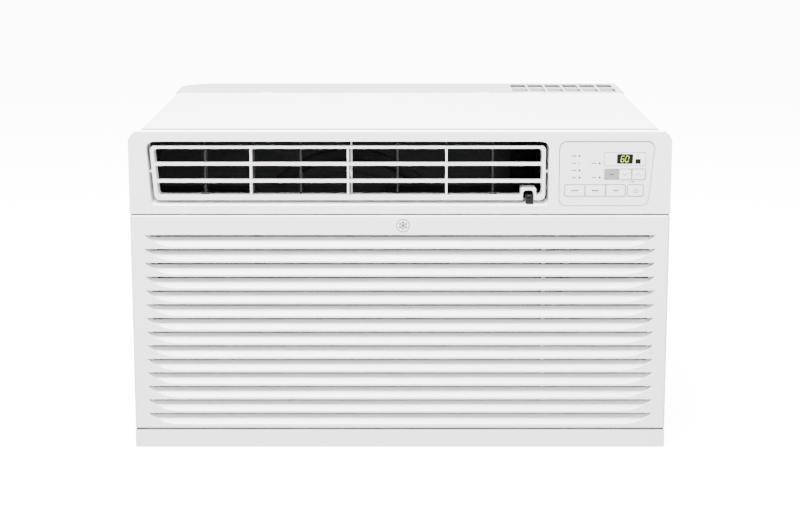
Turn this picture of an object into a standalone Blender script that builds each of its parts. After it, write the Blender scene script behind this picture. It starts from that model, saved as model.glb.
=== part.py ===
"""Room air conditioner for a wall sleeve: casing, refrigerant circuit, blower and controls.

Metres. +Z is up, the front faces -Y, and the origin is on the ground under the middle of the case.
"""
import math

import bmesh
import bpy
from mathutils import Matrix, Vector

# ---- overall size ----
WIDTH = 0.610            # front panel, left to right
DEPTH = 0.511            # front face to rear wall
HEIGHT = 0.367           # underside of the base pan to the top of the front panel
GAP = 0.0003             # between pieces that touch
RUNNING = 0.0004         # between a pivot pin and its hole

# ---- casing ----
PLASTIC = 0.0025         # wall of the moulded front panel
SHEET = 0.0012           # steel sheet
FRONT_WRAP = 0.0198      # how far the front panel reaches back along the sides
PANEL_CORNER = 0.013     # its two top corners
COVER_INSET = 0.0095     # the cover's sides stand this far inside the front panel's
COVER_DROP = 0.0010      # the cover's top lies this far below the front panel's
COVER_LENGTH = DEPTH - 0.1306
COVER_LIFT = 0.0030      # lower edge of the cover and the rear shroud
COVER_EDGE = 0.0050
SHROUD_WALL = 0.0020
SHROUD_CORNER = 0.045    # upright rear corner on the left, rounded in plan
PAN_HEIGHT = 0.022
SILL_HEIGHT = 0.0205     # strip of the front panel under the grille
GRILLE_TOP = HEIGHT - 0.0948
GRILLE_SEAM = 0.0008
GRILLE_DEPTH = 0.0120
RAIL_WIDTH = 0.020

# ---- louver opening, louver frame and vanes ----
OPENING_LEFT = 0.0201 - WIDTH / 2
OPENING_RIGHT = WIDTH / 2 - 0.1377
OPENING_TOP = HEIGHT - 0.0119
OPENING_LIP = HEIGHT - 0.0845     # lower edge at the front face
OPENING_FLOOR = HEIGHT - 0.0818   # floor of the tunnel behind the sloped lip
OPENING_SLANT = 0.0048   # the left side leans in by this much towards the bottom
OPENING_CORNER = 0.008
LIP_DEPTH = 0.008
TUNNEL_DEPTH = 0.0375
FRAME_MARGIN = 0.0038    # between the opening's sides and the louver frame's
FRAME_TOP = HEIGHT - 0.0162
FRAME_BOTTOM = HEIGHT - 0.0786
FRAME_TOP_BAR = 0.0040
FRAME_BOTTOM_BAR = 0.0050
FRAME_SIDE_BAR = 0.0040
FRAME_RECESS = 0.0020
FRAME_DEPTH = 0.0210
BLADE_THICKNESS = 0.0026
BLADE_DEPTH = 0.0120
BLADE_LEVELS = (HEIGHT - 0.0575, HEIGHT - 0.0382)
RIB_PLACES = tuple(OPENING_LEFT + x for x in (0.1172, 0.2265, 0.3371))
RIB_WIDTH = 0.0022
PIVOT_RADIUS = 0.0018
CENTRE_RIB_X = OPENING_LEFT + 0.2296
CENTRE_RIB_WIDTH = 0.0020
VANE_PLACES = tuple(OPENING_LEFT + x for x in (0.0644, 0.1184, 0.1723, 0.2822, 0.3371, 0.3899))
VANE_THICKNESS = 0.0016
VANE_LENGTH = 0.0205
VANE_PIN_RADIUS = 0.0013
VANE_ARM = 0.0150        # from a vane's pivot back to the link bar's pin
LINK_THICKNESS = 0.0015

# ---- fresh-air vent control ----
VENT_X = OPENING_RIGHT - 0.0215
VENT_ROD_RADIUS = 0.0015
VENT_ROD_Z = OPENING_FLOOR + 0.0073
VENT_ARCH_WIDTH = 0.0124
VENT_ARCH_TOP = OPENING_FLOOR + 0.0144
VENT_ARCH_WALL = 0.0025
VENT_TAB_WIDTH = 0.0086
VENT_TAB_DROP = 0.0082
VENT_DOOR_WIDTH = 0.030
VENT_DOOR_HEIGHT = 0.048

# ---- controls ----
OVERLAY_LEFT = WIDTH / 2 - 0.1262
OVERLAY_RIGHT = WIDTH / 2 - 0.0182
OVERLAY_TOP = HEIGHT - 0.0116
OVERLAY_BOTTOM = HEIGHT - 0.0850
OVERLAY_SLANT = 0.0065
OVERLAY_CORNER = 0.0085
OVERLAY_RECESS = 0.0008
OVERLAY_THICKNESS = 0.0020
KEY_PROUD = 0.0002
KEY_MARGIN = 0.0008      # from a key's edge to the line it shares with its neighbour
KEY_STEM = 0.0020
KEY_ROW_TOP = (OVERLAY_TOP - 0.0438, OVERLAY_TOP - 0.0313)
KEY_ROW_LOW = (OVERLAY_TOP - 0.0627, OVERLAY_TOP - 0.0491)
KEYS = tuple((name, OVERLAY_LEFT + left, OVERLAY_LEFT + right, row) for name, left, right, row in (
    ("key_set", 0.0508, 0.0671, KEY_ROW_TOP),
    ("key_down", 0.0671, 0.0816, KEY_ROW_TOP),
    ("key_up", 0.0816, 0.0974, KEY_ROW_TOP),
    ("key_timer", 0.0063, 0.0295, KEY_ROW_LOW),
    ("key_mode", 0.0295, 0.0526, KEY_ROW_LOW),
    ("key_fan", 0.0526, 0.0753, KEY_ROW_LOW),
    ("key_power", 0.0770, 0.0955, KEY_ROW_LOW),
))
DISPLAY = (OVERLAY_LEFT + 0.0646, OVERLAY_LEFT + 0.0827,
           OVERLAY_TOP - 0.0257, OVERLAY_TOP - 0.0145)
RECEIVER = (OVERLAY_LEFT + 0.0854, OVERLAY_LEFT + 0.0914,
            OVERLAY_TOP - 0.0257, OVERLAY_TOP - 0.0202)
BOARD_THICKNESS = 0.0016

# ---- inlet grille ----
SLOT_COUNT = 14
SLOT_PITCH = 0.0160
SLOT_TOP = GRILLE_TOP - 0.0235
SLOT_HEIGHT = 0.0135
SLOT_DEPTH = 0.0080
SLOT_GAP = 0.0035        # through slit at the deep edge of each scoop
SLOT_END = 0.0205        # from the grille's end to a scoop's end
SLOT_TAPER = 0.0340
GRILLE_HINGE = 0.0030    # radius of the grille's lower edge, which turns on its centre

# ---- air path and refrigerant circuit ----
FAN_X = -0.060
FAN_Z = 0.200
SHAFT_RADIUS = 0.0040
FILTER_THICKNESS = 0.0050
COIL_LEFT = 0.035 - WIDTH / 2
COIL_RIGHT = WIDTH / 2 - 0.145
EVAPORATOR_THICKNESS = 0.034
TUBE_PITCH = 0.038
EVAPORATOR_ROWS = 6
CONDENSER_ROWS = 8
STUB_SHIFT = 0.011
TUBE_RADIUS = 0.0046
WHEEL_RADIUS = 0.070
WHEEL_WIDTH = 0.050
WHEEL_BLADES = 16
SCROLL_WALL = 0.0020
PARTITION_BACK = 0.130   # partition, behind the front face
FAN_RADIUS = 0.138
FAN_BLADES = 5
CONDENSER_WIDTH = 0.380
CONDENSER_THICKNESS = 0.040
CONDENSER_TOP = HEIGHT - 0.0220
COMPRESSOR_X = WIDTH / 2 - 0.090
COMPRESSOR_Y = 0.030
COMPRESSOR_RADIUS = 0.058
COMPRESSOR_TOP = 0.270
MOTOR_RADIUS = 0.042
PIPE_RADIUS = 0.0040

# ---- places worked out from the sizes above ----
FRONT = -DEPTH / 2
REAR = DEPTH / 2
HALF = WIDTH / 2
WRAP_BACK = FRONT + FRONT_WRAP
COVER_HALF = HALF - COVER_INSET
COVER_TOP = HEIGHT - COVER_DROP
COVER_FRONT = WRAP_BACK + GAP
COVER_BACK = COVER_FRONT + COVER_LENGTH
PAN_HALF = COVER_HALF - SHROUD_WALL - GAP
INSIDE_HALF = PAN_HALF - SHEET - GAP
FLOOR = SHEET + GAP
TUNNEL_BACK = FRONT + TUNNEL_DEPTH
FRAME_FRONT = FRONT + FRAME_RECESS
FRAME_BACK = FRAME_FRONT + FRAME_DEPTH
TILT_Y = (FRAME_FRONT + FRAME_BACK) / 2
TILT_Z = (FRAME_TOP + FRAME_BOTTOM) / 2
VANE_Y = FRAME_BACK - 0.0040
PARTITION_Y = FRONT + PARTITION_BACK
DUCT_BACK = PARTITION_Y - 0.0007
DUCT_FRONT = TUNNEL_BACK + GAP
GRILLE_BOTTOM = SILL_HEIGHT + GRILLE_SEAM
PANEL_BOTTOM = GRILLE_TOP + GRILLE_SEAM
FILTER_Y = WRAP_BACK + 0.0022
COIL_Y = FILTER_Y + FILTER_THICKNESS + 0.0045
COIL_BACK = COIL_Y + EVAPORATOR_THICKNESS
ORIFICE_Y = COIL_BACK + 0.0020
ORIFICE_BACK = ORIFICE_Y + 0.0015
CONDENSER_Y = REAR - 0.0555
FAN_PLANE = COVER_BACK + 0.0050
SCREW_Y = FRONT + 0.2055
SCREW_Z = 0.012
CORD_Y = FRONT + 0.0755
CORD_Z = 0.040
MOTOR_BACK = PARTITION_Y + 0.080
CONDENSER_LEFT = FAN_X - CONDENSER_WIDTH / 2
CONDENSER_RIGHT = FAN_X + CONDENSER_WIDTH / 2
ACCUMULATOR = (COMPRESSOR_X + 0.047, COMPRESSOR_Y - 0.092)
PIPE_X = COIL_RIGHT + 0.0270
EVAPORATOR_Z = (0.0260, GRILLE_TOP - 0.0102)
PIPE_HOLES = [sum(EVAPORATOR_Z) / 2 + side * TUBE_PITCH * (EVAPORATOR_ROWS - 1) / 2
              for side in (-1, 1)]

WHITE = (0.86, 0.86, 0.84)
WARM_GREY = (0.72, 0.72, 0.70)
STEEL = (0.62, 0.63, 0.64)
DARK = (0.055, 0.055, 0.06)
BLACK = (0.02, 0.02, 0.022)
COPPER = (0.72, 0.36, 0.20)
FIN = (0.70, 0.73, 0.76)
FOAM = (0.88, 0.88, 0.86)


def clear_scene():
    for old in list(bpy.data.objects):
        bpy.data.objects.remove(old, do_unlink=True)


def make_collection(name):
    group = bpy.data.collections.new(name)
    bpy.context.scene.collection.children.link(group)
    return group


clear_scene()
PARTS = make_collection("room_air_conditioner")
TOOLS = make_collection("cutters")


# ---- modelling helpers ----

def move_to(obj, group):
    for old in list(obj.users_collection):
        old.objects.unlink(obj)
    group.objects.link(obj)


def part(obj, name, colour, roughness=0.5, metallic=0.0):
    """Names the finished piece, gives it its own material and files it with the parts."""
    obj.name = name
    obj.data.name = name
    surface = bpy.data.materials.new(name)
    surface.use_nodes = True
    shader = surface.node_tree.nodes["Principled BSDF"]
    shader.inputs["Base Color"].default_value = (*colour, 1.0)
    shader.inputs["Roughness"].default_value = roughness
    shader.inputs["Metallic"].default_value = metallic
    obj.data.materials.clear()
    obj.data.materials.append(surface)
    move_to(obj, PARTS)
    return obj


def pivot(name, place, *pieces):
    """Hangs pieces on an empty that stands on their joint's axis."""
    empty = bpy.data.objects.new(name, None)
    empty.empty_display_size = 0.01
    empty.location = place
    PARTS.objects.link(empty)
    for piece in pieces:
        piece.parent = empty
        piece.matrix_parent_inverse = Matrix.Translation(place).inverted()
    return empty


def box(x, y, z):
    """A block between two values along each axis, with its scale applied."""
    centre = [(low + high) / 2 for low, high in (x, y, z)]
    bpy.ops.mesh.primitive_cube_add(size=1)
    obj = bpy.context.object
    size = [high - low for low, high in (x, y, z)]
    obj.data.transform(Matrix.Translation(centre) @ Matrix.Diagonal((*size, 1.0)))
    return obj


def from_curve(curve_object):
    """Turns a curve object into a mesh object with its end caps welded on."""
    bpy.context.scene.collection.objects.link(curve_object)
    bpy.context.view_layer.update()
    seen = curve_object.evaluated_get(bpy.context.evaluated_depsgraph_get())
    mesh = bpy.data.meshes.new_from_object(seen)
    mesh.transform(curve_object.matrix_world)
    bpy.data.objects.remove(curve_object, do_unlink=True)
    work = bmesh.new()
    work.from_mesh(mesh)
    bmesh.ops.remove_doubles(work, verts=work.verts, dist=0.000005)
    bmesh.ops.dissolve_limit(work, angle_limit=0.0005, verts=work.verts, edges=work.edges)
    bmesh.ops.recalc_face_normals(work, faces=work.faces)
    work.to_mesh(mesh)
    work.free()
    obj = bpy.data.objects.new("outline", mesh)
    bpy.context.scene.collection.objects.link(obj)
    return obj


ALONG = {
    "X": Matrix(((0, 0, 1, 0), (1, 0, 0, 0), (0, 1, 0, 0), (0, 0, 0, 1))),
    "Y": Matrix(((1, 0, 0, 0), (0, 0, -1, 0), (0, 1, 0, 0), (0, 0, 0, 1))),
    "Z": Matrix.Identity(4),
}


def extruded(points, axis, low, high):
    """A flat outline made solid between two places along an axis.

    The points are (y, z) along X, (x, z) along Y and (x, y) along Z.
    """
    data = bpy.data.curves.new("outline", "CURVE")
    data.dimensions = "2D"
    data.fill_mode = "BOTH"
    data.extrude = (high - low) / 2
    spline = data.splines.new("POLY")
    spline.points.add(len(points) - 1)
    for node, (u, v) in zip(spline.points, points):
        node.co = (u, v, 0.0, 1.0)
    spline.use_cyclic_u = True
    obj = bpy.data.objects.new("outline", data)
    shift = Vector([(low + high) / 2 if name == axis else 0.0 for name in "XYZ"])
    obj.matrix_world = Matrix.Translation(shift) @ ALONG[axis]
    return from_curve(obj)


def arc(centre, radius, start, end, steps):
    """Points along an arc, with the angles in degrees."""
    turn = [math.radians(start + (end - start) * i / steps) for i in range(steps + 1)]
    return [(centre[0] + radius * math.cos(a), centre[1] + radius * math.sin(a)) for a in turn]


def rounded(corners, radius, steps=4):
    """A closed outline of straight sides whose corners are rounded with arcs."""
    points = []
    count = len(corners)
    for i, corner in enumerate(corners):
        here = Vector(corner)
        before = (Vector(corners[i - 1]) - here).normalized()
        after = (Vector(corners[(i + 1) % count]) - here).normalized()
        half = before.angle(after) / 2
        centre = here + (before + after).normalized() * (radius / math.sin(half))
        first = here + before * (radius / math.tan(half)) - centre
        sweep = (here + after * (radius / math.tan(half)) - centre).angle_signed(first)
        for k in range(steps + 1):
            turned_by = Matrix.Rotation(sweep * k / steps, 2)
            points.append(tuple(centre + turned_by @ first))
    return points


def grown(corners, distance):
    """The same straight-sided outline, moved out by a distance on every side."""
    middle = sum((Vector(c) for c in corners), Vector((0.0, 0.0))) / len(corners)
    lines = []
    for i, corner in enumerate(corners):
        start = Vector(corner)
        along = (Vector(corners[(i + 1) % len(corners)]) - start).normalized()
        outward = Vector((along.y, -along.x))
        if outward.dot(start - middle) < 0:
            outward = -outward
        lines.append((start + outward * distance, along))
    result = []
    for i, (start, along) in enumerate(lines):
        other, direction = lines[i - 1]
        step = (start - other).cross(along) / direction.cross(along)
        result.append(tuple(other + direction * step))
    return result


def modify(obj, kind, **settings):
    change = obj.modifiers.new(kind.lower(), kind)
    for key, value in settings.items():
        setattr(change, key, value)
    return change


def baked(obj):
    """Applies an object's modifiers and placement to its mesh."""
    bpy.context.view_layer.update()
    seen = obj.evaluated_get(bpy.context.evaluated_depsgraph_get())
    mesh = bpy.data.meshes.new_from_object(seen)
    mesh.transform(obj.matrix_world)
    obj.modifiers.clear()
    obj.matrix_world = Matrix.Identity(4)
    obj.data = mesh
    return obj


def combine(obj, other, operation):
    """Cuts, joins or intersects an object with another, which stays as a hidden tool."""
    modify(obj, "BOOLEAN", object=other, operation=operation, solver="EXACT")
    other.hide_render = True
    other.display_type = "WIRE"
    move_to(other, TOOLS)
    return obj


def cut(obj, *tools):
    for tool in tools:
        combine(obj, tool, "DIFFERENCE")
    return obj


def join(obj, *others):
    for other in others:
        combine(obj, other, "UNION")
    return obj


def together(objects):
    """Puts separate bodies into one object, to be used as one tool."""
    work = bmesh.new()
    for obj in objects:
        baked(obj)
        work.from_mesh(obj.data)
    first = objects[0]
    work.to_mesh(first.data)
    work.free()
    for obj in objects[1:]:
        bpy.data.objects.remove(obj, do_unlink=True)
    return first


def turned(profile, axis, place, steps=24):
    """A profile of (radius, height) pairs, listed from the top down, turned about an axis."""
    mesh = bpy.data.meshes.new("profile")
    edges = [(i, i + 1) for i in range(len(profile) - 1)]
    if profile[0][0] > 0:
        edges.append((len(profile) - 1, 0))
    mesh.from_pydata([(r, 0.0, h) for r, h in profile], edges, [])
    obj = bpy.data.objects.new("turned", mesh)
    bpy.context.scene.collection.objects.link(obj)
    modify(obj, "SCREW", steps=steps, render_steps=steps, use_merge_vertices=True,
           merge_threshold=0.00001)
    lean = {
        "X": Matrix.Rotation(math.pi / 2, 4, "Y"),
        "Y": Matrix.Rotation(-math.pi / 2, 4, "X"),
        "Z": Matrix.Identity(4),
    }
    obj.matrix_world = Matrix.Translation(place) @ lean[axis]
    return obj


def rod(axis, place, radius, length, steps=16):
    """A round bar whose lower end is at a place and which runs along an axis."""
    return turned([(0.0, length), (radius, length), (radius, 0.0), (0.0, 0.0)], axis, place, steps)


def smooth_route(corners, radius, steps=4):
    """A route through corner points, with each inner corner rounded off."""
    points = [Vector(corners[0])]
    for i in range(1, len(corners) - 1):
        here = Vector(corners[i])
        before = Vector(corners[i - 1]) - here
        after = Vector(corners[i + 1]) - here
        reach = min(radius, before.length * 0.45, after.length * 0.45)
        start = here + before.normalized() * reach
        end = here + after.normalized() * reach
        for k in range(steps + 1):
            t = k / steps
            points.append(start * (1 - t) ** 2 + here * (2 * t * (1 - t)) + end * t ** 2)
    points.append(Vector(corners[-1]))
    return points


def tube(points, radius, roundness=2):
    """A round tube along a route, with filled ends."""
    data = bpy.data.curves.new("tube", "CURVE")
    data.dimensions = "3D"
    data.bevel_depth = radius
    data.bevel_resolution = roundness
    data.use_fill_caps = True
    spline = data.splines.new("POLY")
    spline.points.add(len(points) - 1)
    for node, point in zip(spline.points, points):
        node.co = (*point, 1.0)
    return bpy.data.objects.new("tube", data)


def tray(x, y, z, wall, *open_sides):
    """A thin-walled box with some sides left open; the sides are named by their outward axis."""
    obj = box(x, y, z)
    outward = {"-X": (-1, 0, 0), "+X": (1, 0, 0), "-Y": (0, -1, 0),
               "+Y": (0, 1, 0), "-Z": (0, 0, -1), "+Z": (0, 0, 1)}
    work = bmesh.new()
    work.from_mesh(obj.data)
    work.normal_update()
    gone = [f for f in work.faces
            if any(f.normal.dot(Vector(outward[side])) > 0.9 for side in open_sides)]
    bmesh.ops.delete(work, geom=gone, context="FACES")
    work.to_mesh(obj.data)
    work.free()
    modify(obj, "SOLIDIFY", thickness=wall, offset=-1.0, use_even_offset=True)
    return obj


def round_edges(obj, chosen, radius, steps):
    """Rounds the edges of a mesh that a test picks out."""
    work = bmesh.new()
    work.from_mesh(obj.data)
    edges = [e for e in work.edges if chosen(*(v.co for v in e.verts))]
    bmesh.ops.bevel(work, geom=edges, offset=radius, segments=steps, profile=0.5,
                    affect="EDGES", clamp_overlap=True)
    work.to_mesh(obj.data)
    work.free()
    return obj


# ---- casing ----

def base_pan():
    pan = tray((-PAN_HALF, PAN_HALF), (COVER_FRONT, REAR - SHROUD_WALL - GAP), (0.0, PAN_HEIGHT),
               SHEET, "+Z")
    corner = SHROUD_CORNER - SHROUD_WALL
    round_edges(pan, lambda a, b: min(a.y, b.y) > 0 and max(a.x, b.x) < 0 and abs(a.z - b.z) > 0.01,
                corner, 6)
    for side in (-1, 1):
        cut(pan, rod("X", (side * PAN_HALF - 0.005, SCREW_Y, SCREW_Z), 0.0023, 0.010, 12))
    return part(pan, "base_pan", STEEL, 0.5, 0.8)


def cabinet_cover():
    cover = tray((-COVER_HALF, COVER_HALF), (COVER_FRONT, COVER_BACK), (COVER_LIFT, COVER_TOP),
                 SHEET, "-Y", "+Y", "-Z")
    round_edges(cover, lambda a, b: min(a.z, b.z) > HEIGHT / 2 and abs(a.y - b.y) > 0.1,
                COVER_EDGE, 3)
    for side in (-1, 1):
        cut(cover, rod("X", (side * COVER_HALF - 0.005, SCREW_Y, SCREW_Z), 0.0023, 0.010, 12))
    cut(cover, rod("X", (COVER_HALF - 0.005, CORD_Y, CORD_Z), 0.0080, 0.010, 20))
    return part(cover, "cabinet_cover", WHITE, 0.45)


def windows(x, y, z, columns, rows, bar, across, down):
    """Rectangular holes in a grid between two values along two axes, kept apart by bars."""
    spans = {"X": x, "Y": y, "Z": z}

    def steps(axis, count):
        low, high = spans[axis]
        size = (high - low - bar * (count - 1)) / count
        return [(low + i * (size + bar), low + i * (size + bar) + size) for i in range(count)]

    holes = []
    for first in steps(across, columns):
        for second in steps(down, rows):
            here = dict(spans)
            here[across] = first
            here[down] = second
            holes.append(box(here["X"], here["Y"], here["Z"]))
    return together(holes)


def rear_shroud():
    front = COVER_BACK + GAP
    shroud = tray((-COVER_HALF, COVER_HALF), (front, REAR), (COVER_LIFT, HEIGHT), SHROUD_WALL,
                  "-Y", "-Z")
    round_edges(shroud, lambda a, b: min(a.y, b.y) > REAR - 0.05 and max(a.x, b.x) < 0
                and abs(a.z - b.z) > 0.1, SHROUD_CORNER, 6)
    lattice = CONDENSER_RIGHT + 0.020
    edge = 0.008
    through = 0.010
    cut(shroud,
        windows((lattice, COVER_HALF - edge), (front + edge, REAR - edge),
                (HEIGHT - through, HEIGHT + through), 6, 2, 0.003, "X", "Y"),
        windows((COVER_HALF - through, COVER_HALF + through), (front + edge, REAR - edge),
                (0.045, HEIGHT - 0.020), 2, 6, 0.004, "Y", "Z"),
        windows((lattice, COVER_HALF - edge), (REAR - through, REAR + through),
                (0.045, HEIGHT - 0.020), 3, 6, 0.004, "X", "Z"),
        box((CONDENSER_LEFT + 0.010, CONDENSER_RIGHT - 0.010), (REAR - through, REAR + through),
            (0.045, CONDENSER_TOP - 0.010)))
    return part(shroud, "rear_shroud", WARM_GREY, 0.55)


def opening_corners(drop=0.0):
    """Corners of the louver opening, seen from the front; its lower edge can be dropped."""
    return [(OPENING_LEFT, OPENING_TOP), (OPENING_RIGHT, OPENING_TOP),
            (OPENING_RIGHT, OPENING_LIP - drop), (OPENING_LEFT + OPENING_SLANT, OPENING_LIP - drop)]


def overlay_corners():
    return [(OVERLAY_LEFT, OVERLAY_TOP), (OVERLAY_RIGHT, OVERLAY_TOP),
            (OVERLAY_RIGHT - OVERLAY_SLANT, OVERLAY_BOTTOM), (OVERLAY_LEFT, OVERLAY_BOTTOM)]


def tilt_pins(radius, reach):
    """The louver frame's two end pivots, or the holes for them."""
    left = OPENING_LEFT + OPENING_SLANT / 2
    return [rod("X", (left - reach, TILT_Y, TILT_Z), radius, reach + FRAME_MARGIN + 0.002, 16),
            rod("X", (OPENING_RIGHT - FRAME_MARGIN - 0.002, TILT_Y, TILT_Z), radius,
                reach + FRAME_MARGIN + 0.002, 16)]


def front_panel():
    panel = box((-HALF, HALF), (FRONT, WRAP_BACK), (0.0, HEIGHT))
    round_edges(panel, lambda a, b: min(a.z, b.z) > HEIGHT - 0.001 and abs(a.x - b.x) < 0.001,
                PANEL_CORNER, 5)
    hollow = box((-HALF + PLASTIC, HALF - PLASTIC), (FRONT + PLASTIC, WRAP_BACK + 0.01),
                 (PANEL_BOTTOM + PLASTIC, HEIGHT - PLASTIC))
    round_edges(hollow, lambda a, b: min(a.z, b.z) > HEIGHT - PLASTIC - 0.001
                and abs(a.x - b.x) < 0.001, PANEL_CORNER - PLASTIC, 5)
    # the recess for the grille across the front, and the window between the two side rails
    recess = box((-HALF - 0.01, HALF + 0.01), (FRONT - 0.01, FRONT + GRILLE_DEPTH + 0.0005),
                 (SILL_HEIGHT, PANEL_BOTTOM))
    ledge = 0.001
    window = box((-HALF + RAIL_WIDTH, HALF - RAIL_WIDTH), (FRONT, WRAP_BACK + 0.01),
                 (SILL_HEIGHT + ledge, PANEL_BOTTOM - ledge))
    cut(panel, hollow, recess, window)
    # the tunnel behind the louver opening, and the plate that the overlay sits on
    collar = extruded(rounded(grown(opening_corners(), PLASTIC), OPENING_CORNER), "Y",
                      FRONT + 0.001, TUNNEL_BACK)
    seat_back = FRONT + OVERLAY_RECESS + OVERLAY_THICKNESS + GAP + PLASTIC
    seat = extruded(rounded(grown(overlay_corners(), PLASTIC), OVERLAY_CORNER), "Y",
                    FRONT + 0.001, seat_back)
    join(panel, collar, seat)
    # the louver opening, with a sloped lip along its lower edge
    hole = extruded(rounded(opening_corners(0.002), OPENING_CORNER), "Y", FRONT - 0.007,
                    TUNNEL_BACK + 0.01)
    side = [(FRONT - LIP_DEPTH, OPENING_TOP + 0.01),
            (FRONT - LIP_DEPTH, 2 * OPENING_LIP - OPENING_FLOOR),
            (FRONT + LIP_DEPTH, OPENING_FLOOR), (TUNNEL_BACK + 0.02, OPENING_FLOOR),
            (TUNNEL_BACK + 0.02, OPENING_TOP + 0.01)]
    combine(hole, extruded(side, "X", -HALF, HALF), "INTERSECT")
    baked(hole)
    pocket = extruded(rounded(grown(overlay_corners(), GAP), OVERLAY_CORNER), "Y", FRONT - 0.01,
                      seat_back - PLASTIC)
    behind_keys = box((KEYS[3][1] - 0.002, KEYS[2][2] + 0.002), (FRONT - 0.01, seat_back + 0.01),
                      (KEY_ROW_LOW[0] - 0.003, DISPLAY[3] + 0.006))
    cut(panel, hole, pocket, behind_keys, together(tilt_pins(PIVOT_RADIUS + RUNNING, 0.0065)))
    # the fixed centre rib, whose arm carries the louver frame's middle pivot
    rib_y = FRAME_BACK + 0.0095
    half = CENTRE_RIB_WIDTH / 2
    rib = box((CENTRE_RIB_X - half, CENTRE_RIB_X + half), (rib_y, rib_y + 0.0045),
              (OPENING_FLOOR - 0.001, OPENING_TOP + 0.001))
    arm = box((CENTRE_RIB_X - half + 0.0002, CENTRE_RIB_X + half - 0.0002), (TILT_Y, rib_y + 0.001),
              (TILT_Z - 0.0022, TILT_Z + 0.0022))
    hub = rod("X", (CENTRE_RIB_X - half + 0.0001, TILT_Y, TILT_Z), 0.0050, CENTRE_RIB_WIDTH, 16)
    pin = rod("X", (RIB_PLACES[1] - RIB_WIDTH / 2, TILT_Y, TILT_Z), 0.0014,
              CENTRE_RIB_X - RIB_PLACES[1] + RIB_WIDTH / 2, 12)
    join(rib, arm, hub, pin)
    join(panel, baked(rib))
    return part(panel, "front_panel", WHITE, 0.5)


def inlet_grille():
    bottom = GRILLE_BOTTOM
    axis_y = FRONT + GRILLE_HINGE
    axis_z = bottom + GRILLE_HINGE
    back = FRONT + GRILLE_DEPTH
    outline = arc((axis_y, axis_z), GRILLE_HINGE, 180, 270, 5)
    outline += [(back, bottom), (back, GRILLE_TOP), (FRONT + 0.001, GRILLE_TOP),
                (FRONT, GRILLE_TOP - 0.001)]
    grille = extruded(outline, "X", -HALF, HALF)
    reach = HALF - SLOT_END
    scoops = []
    for i in range(SLOT_COUNT):
        top = SLOT_TOP - i * SLOT_PITCH
        side = [(FRONT - 0.001, top), (FRONT + SLOT_DEPTH, top), (FRONT + SLOT_DEPTH, top - 0.0020),
                (FRONT - 0.0001, top - SLOT_HEIGHT), (FRONT - 0.001, top - SLOT_HEIGHT)]
        scoop = extruded(side, "X", -reach, reach)
        for vert in scoop.data.vertices:
            vert.co.x -= math.copysign(SLOT_TAPER * (top - vert.co.z) / SLOT_HEIGHT, vert.co.x)
        scoops.append(scoop)
    slits = [box((-reach + SLOT_TAPER, reach - SLOT_TAPER),
                 (FRONT + SLOT_DEPTH / 2, back + 0.01),
                 (SLOT_TOP - i * SLOT_PITCH - SLOT_GAP, SLOT_TOP - i * SLOT_PITCH - 0.0005))
             for i in range(SLOT_COUNT)]
    cut(grille, together(scoops), together(slits))
    part(grille, "inlet_grille", WHITE, 0.5)
    pivot("inlet_grille_hinge", (0.0, axis_y, axis_z), grille)


# ---- louver frame, vanes and their links ----

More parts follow.
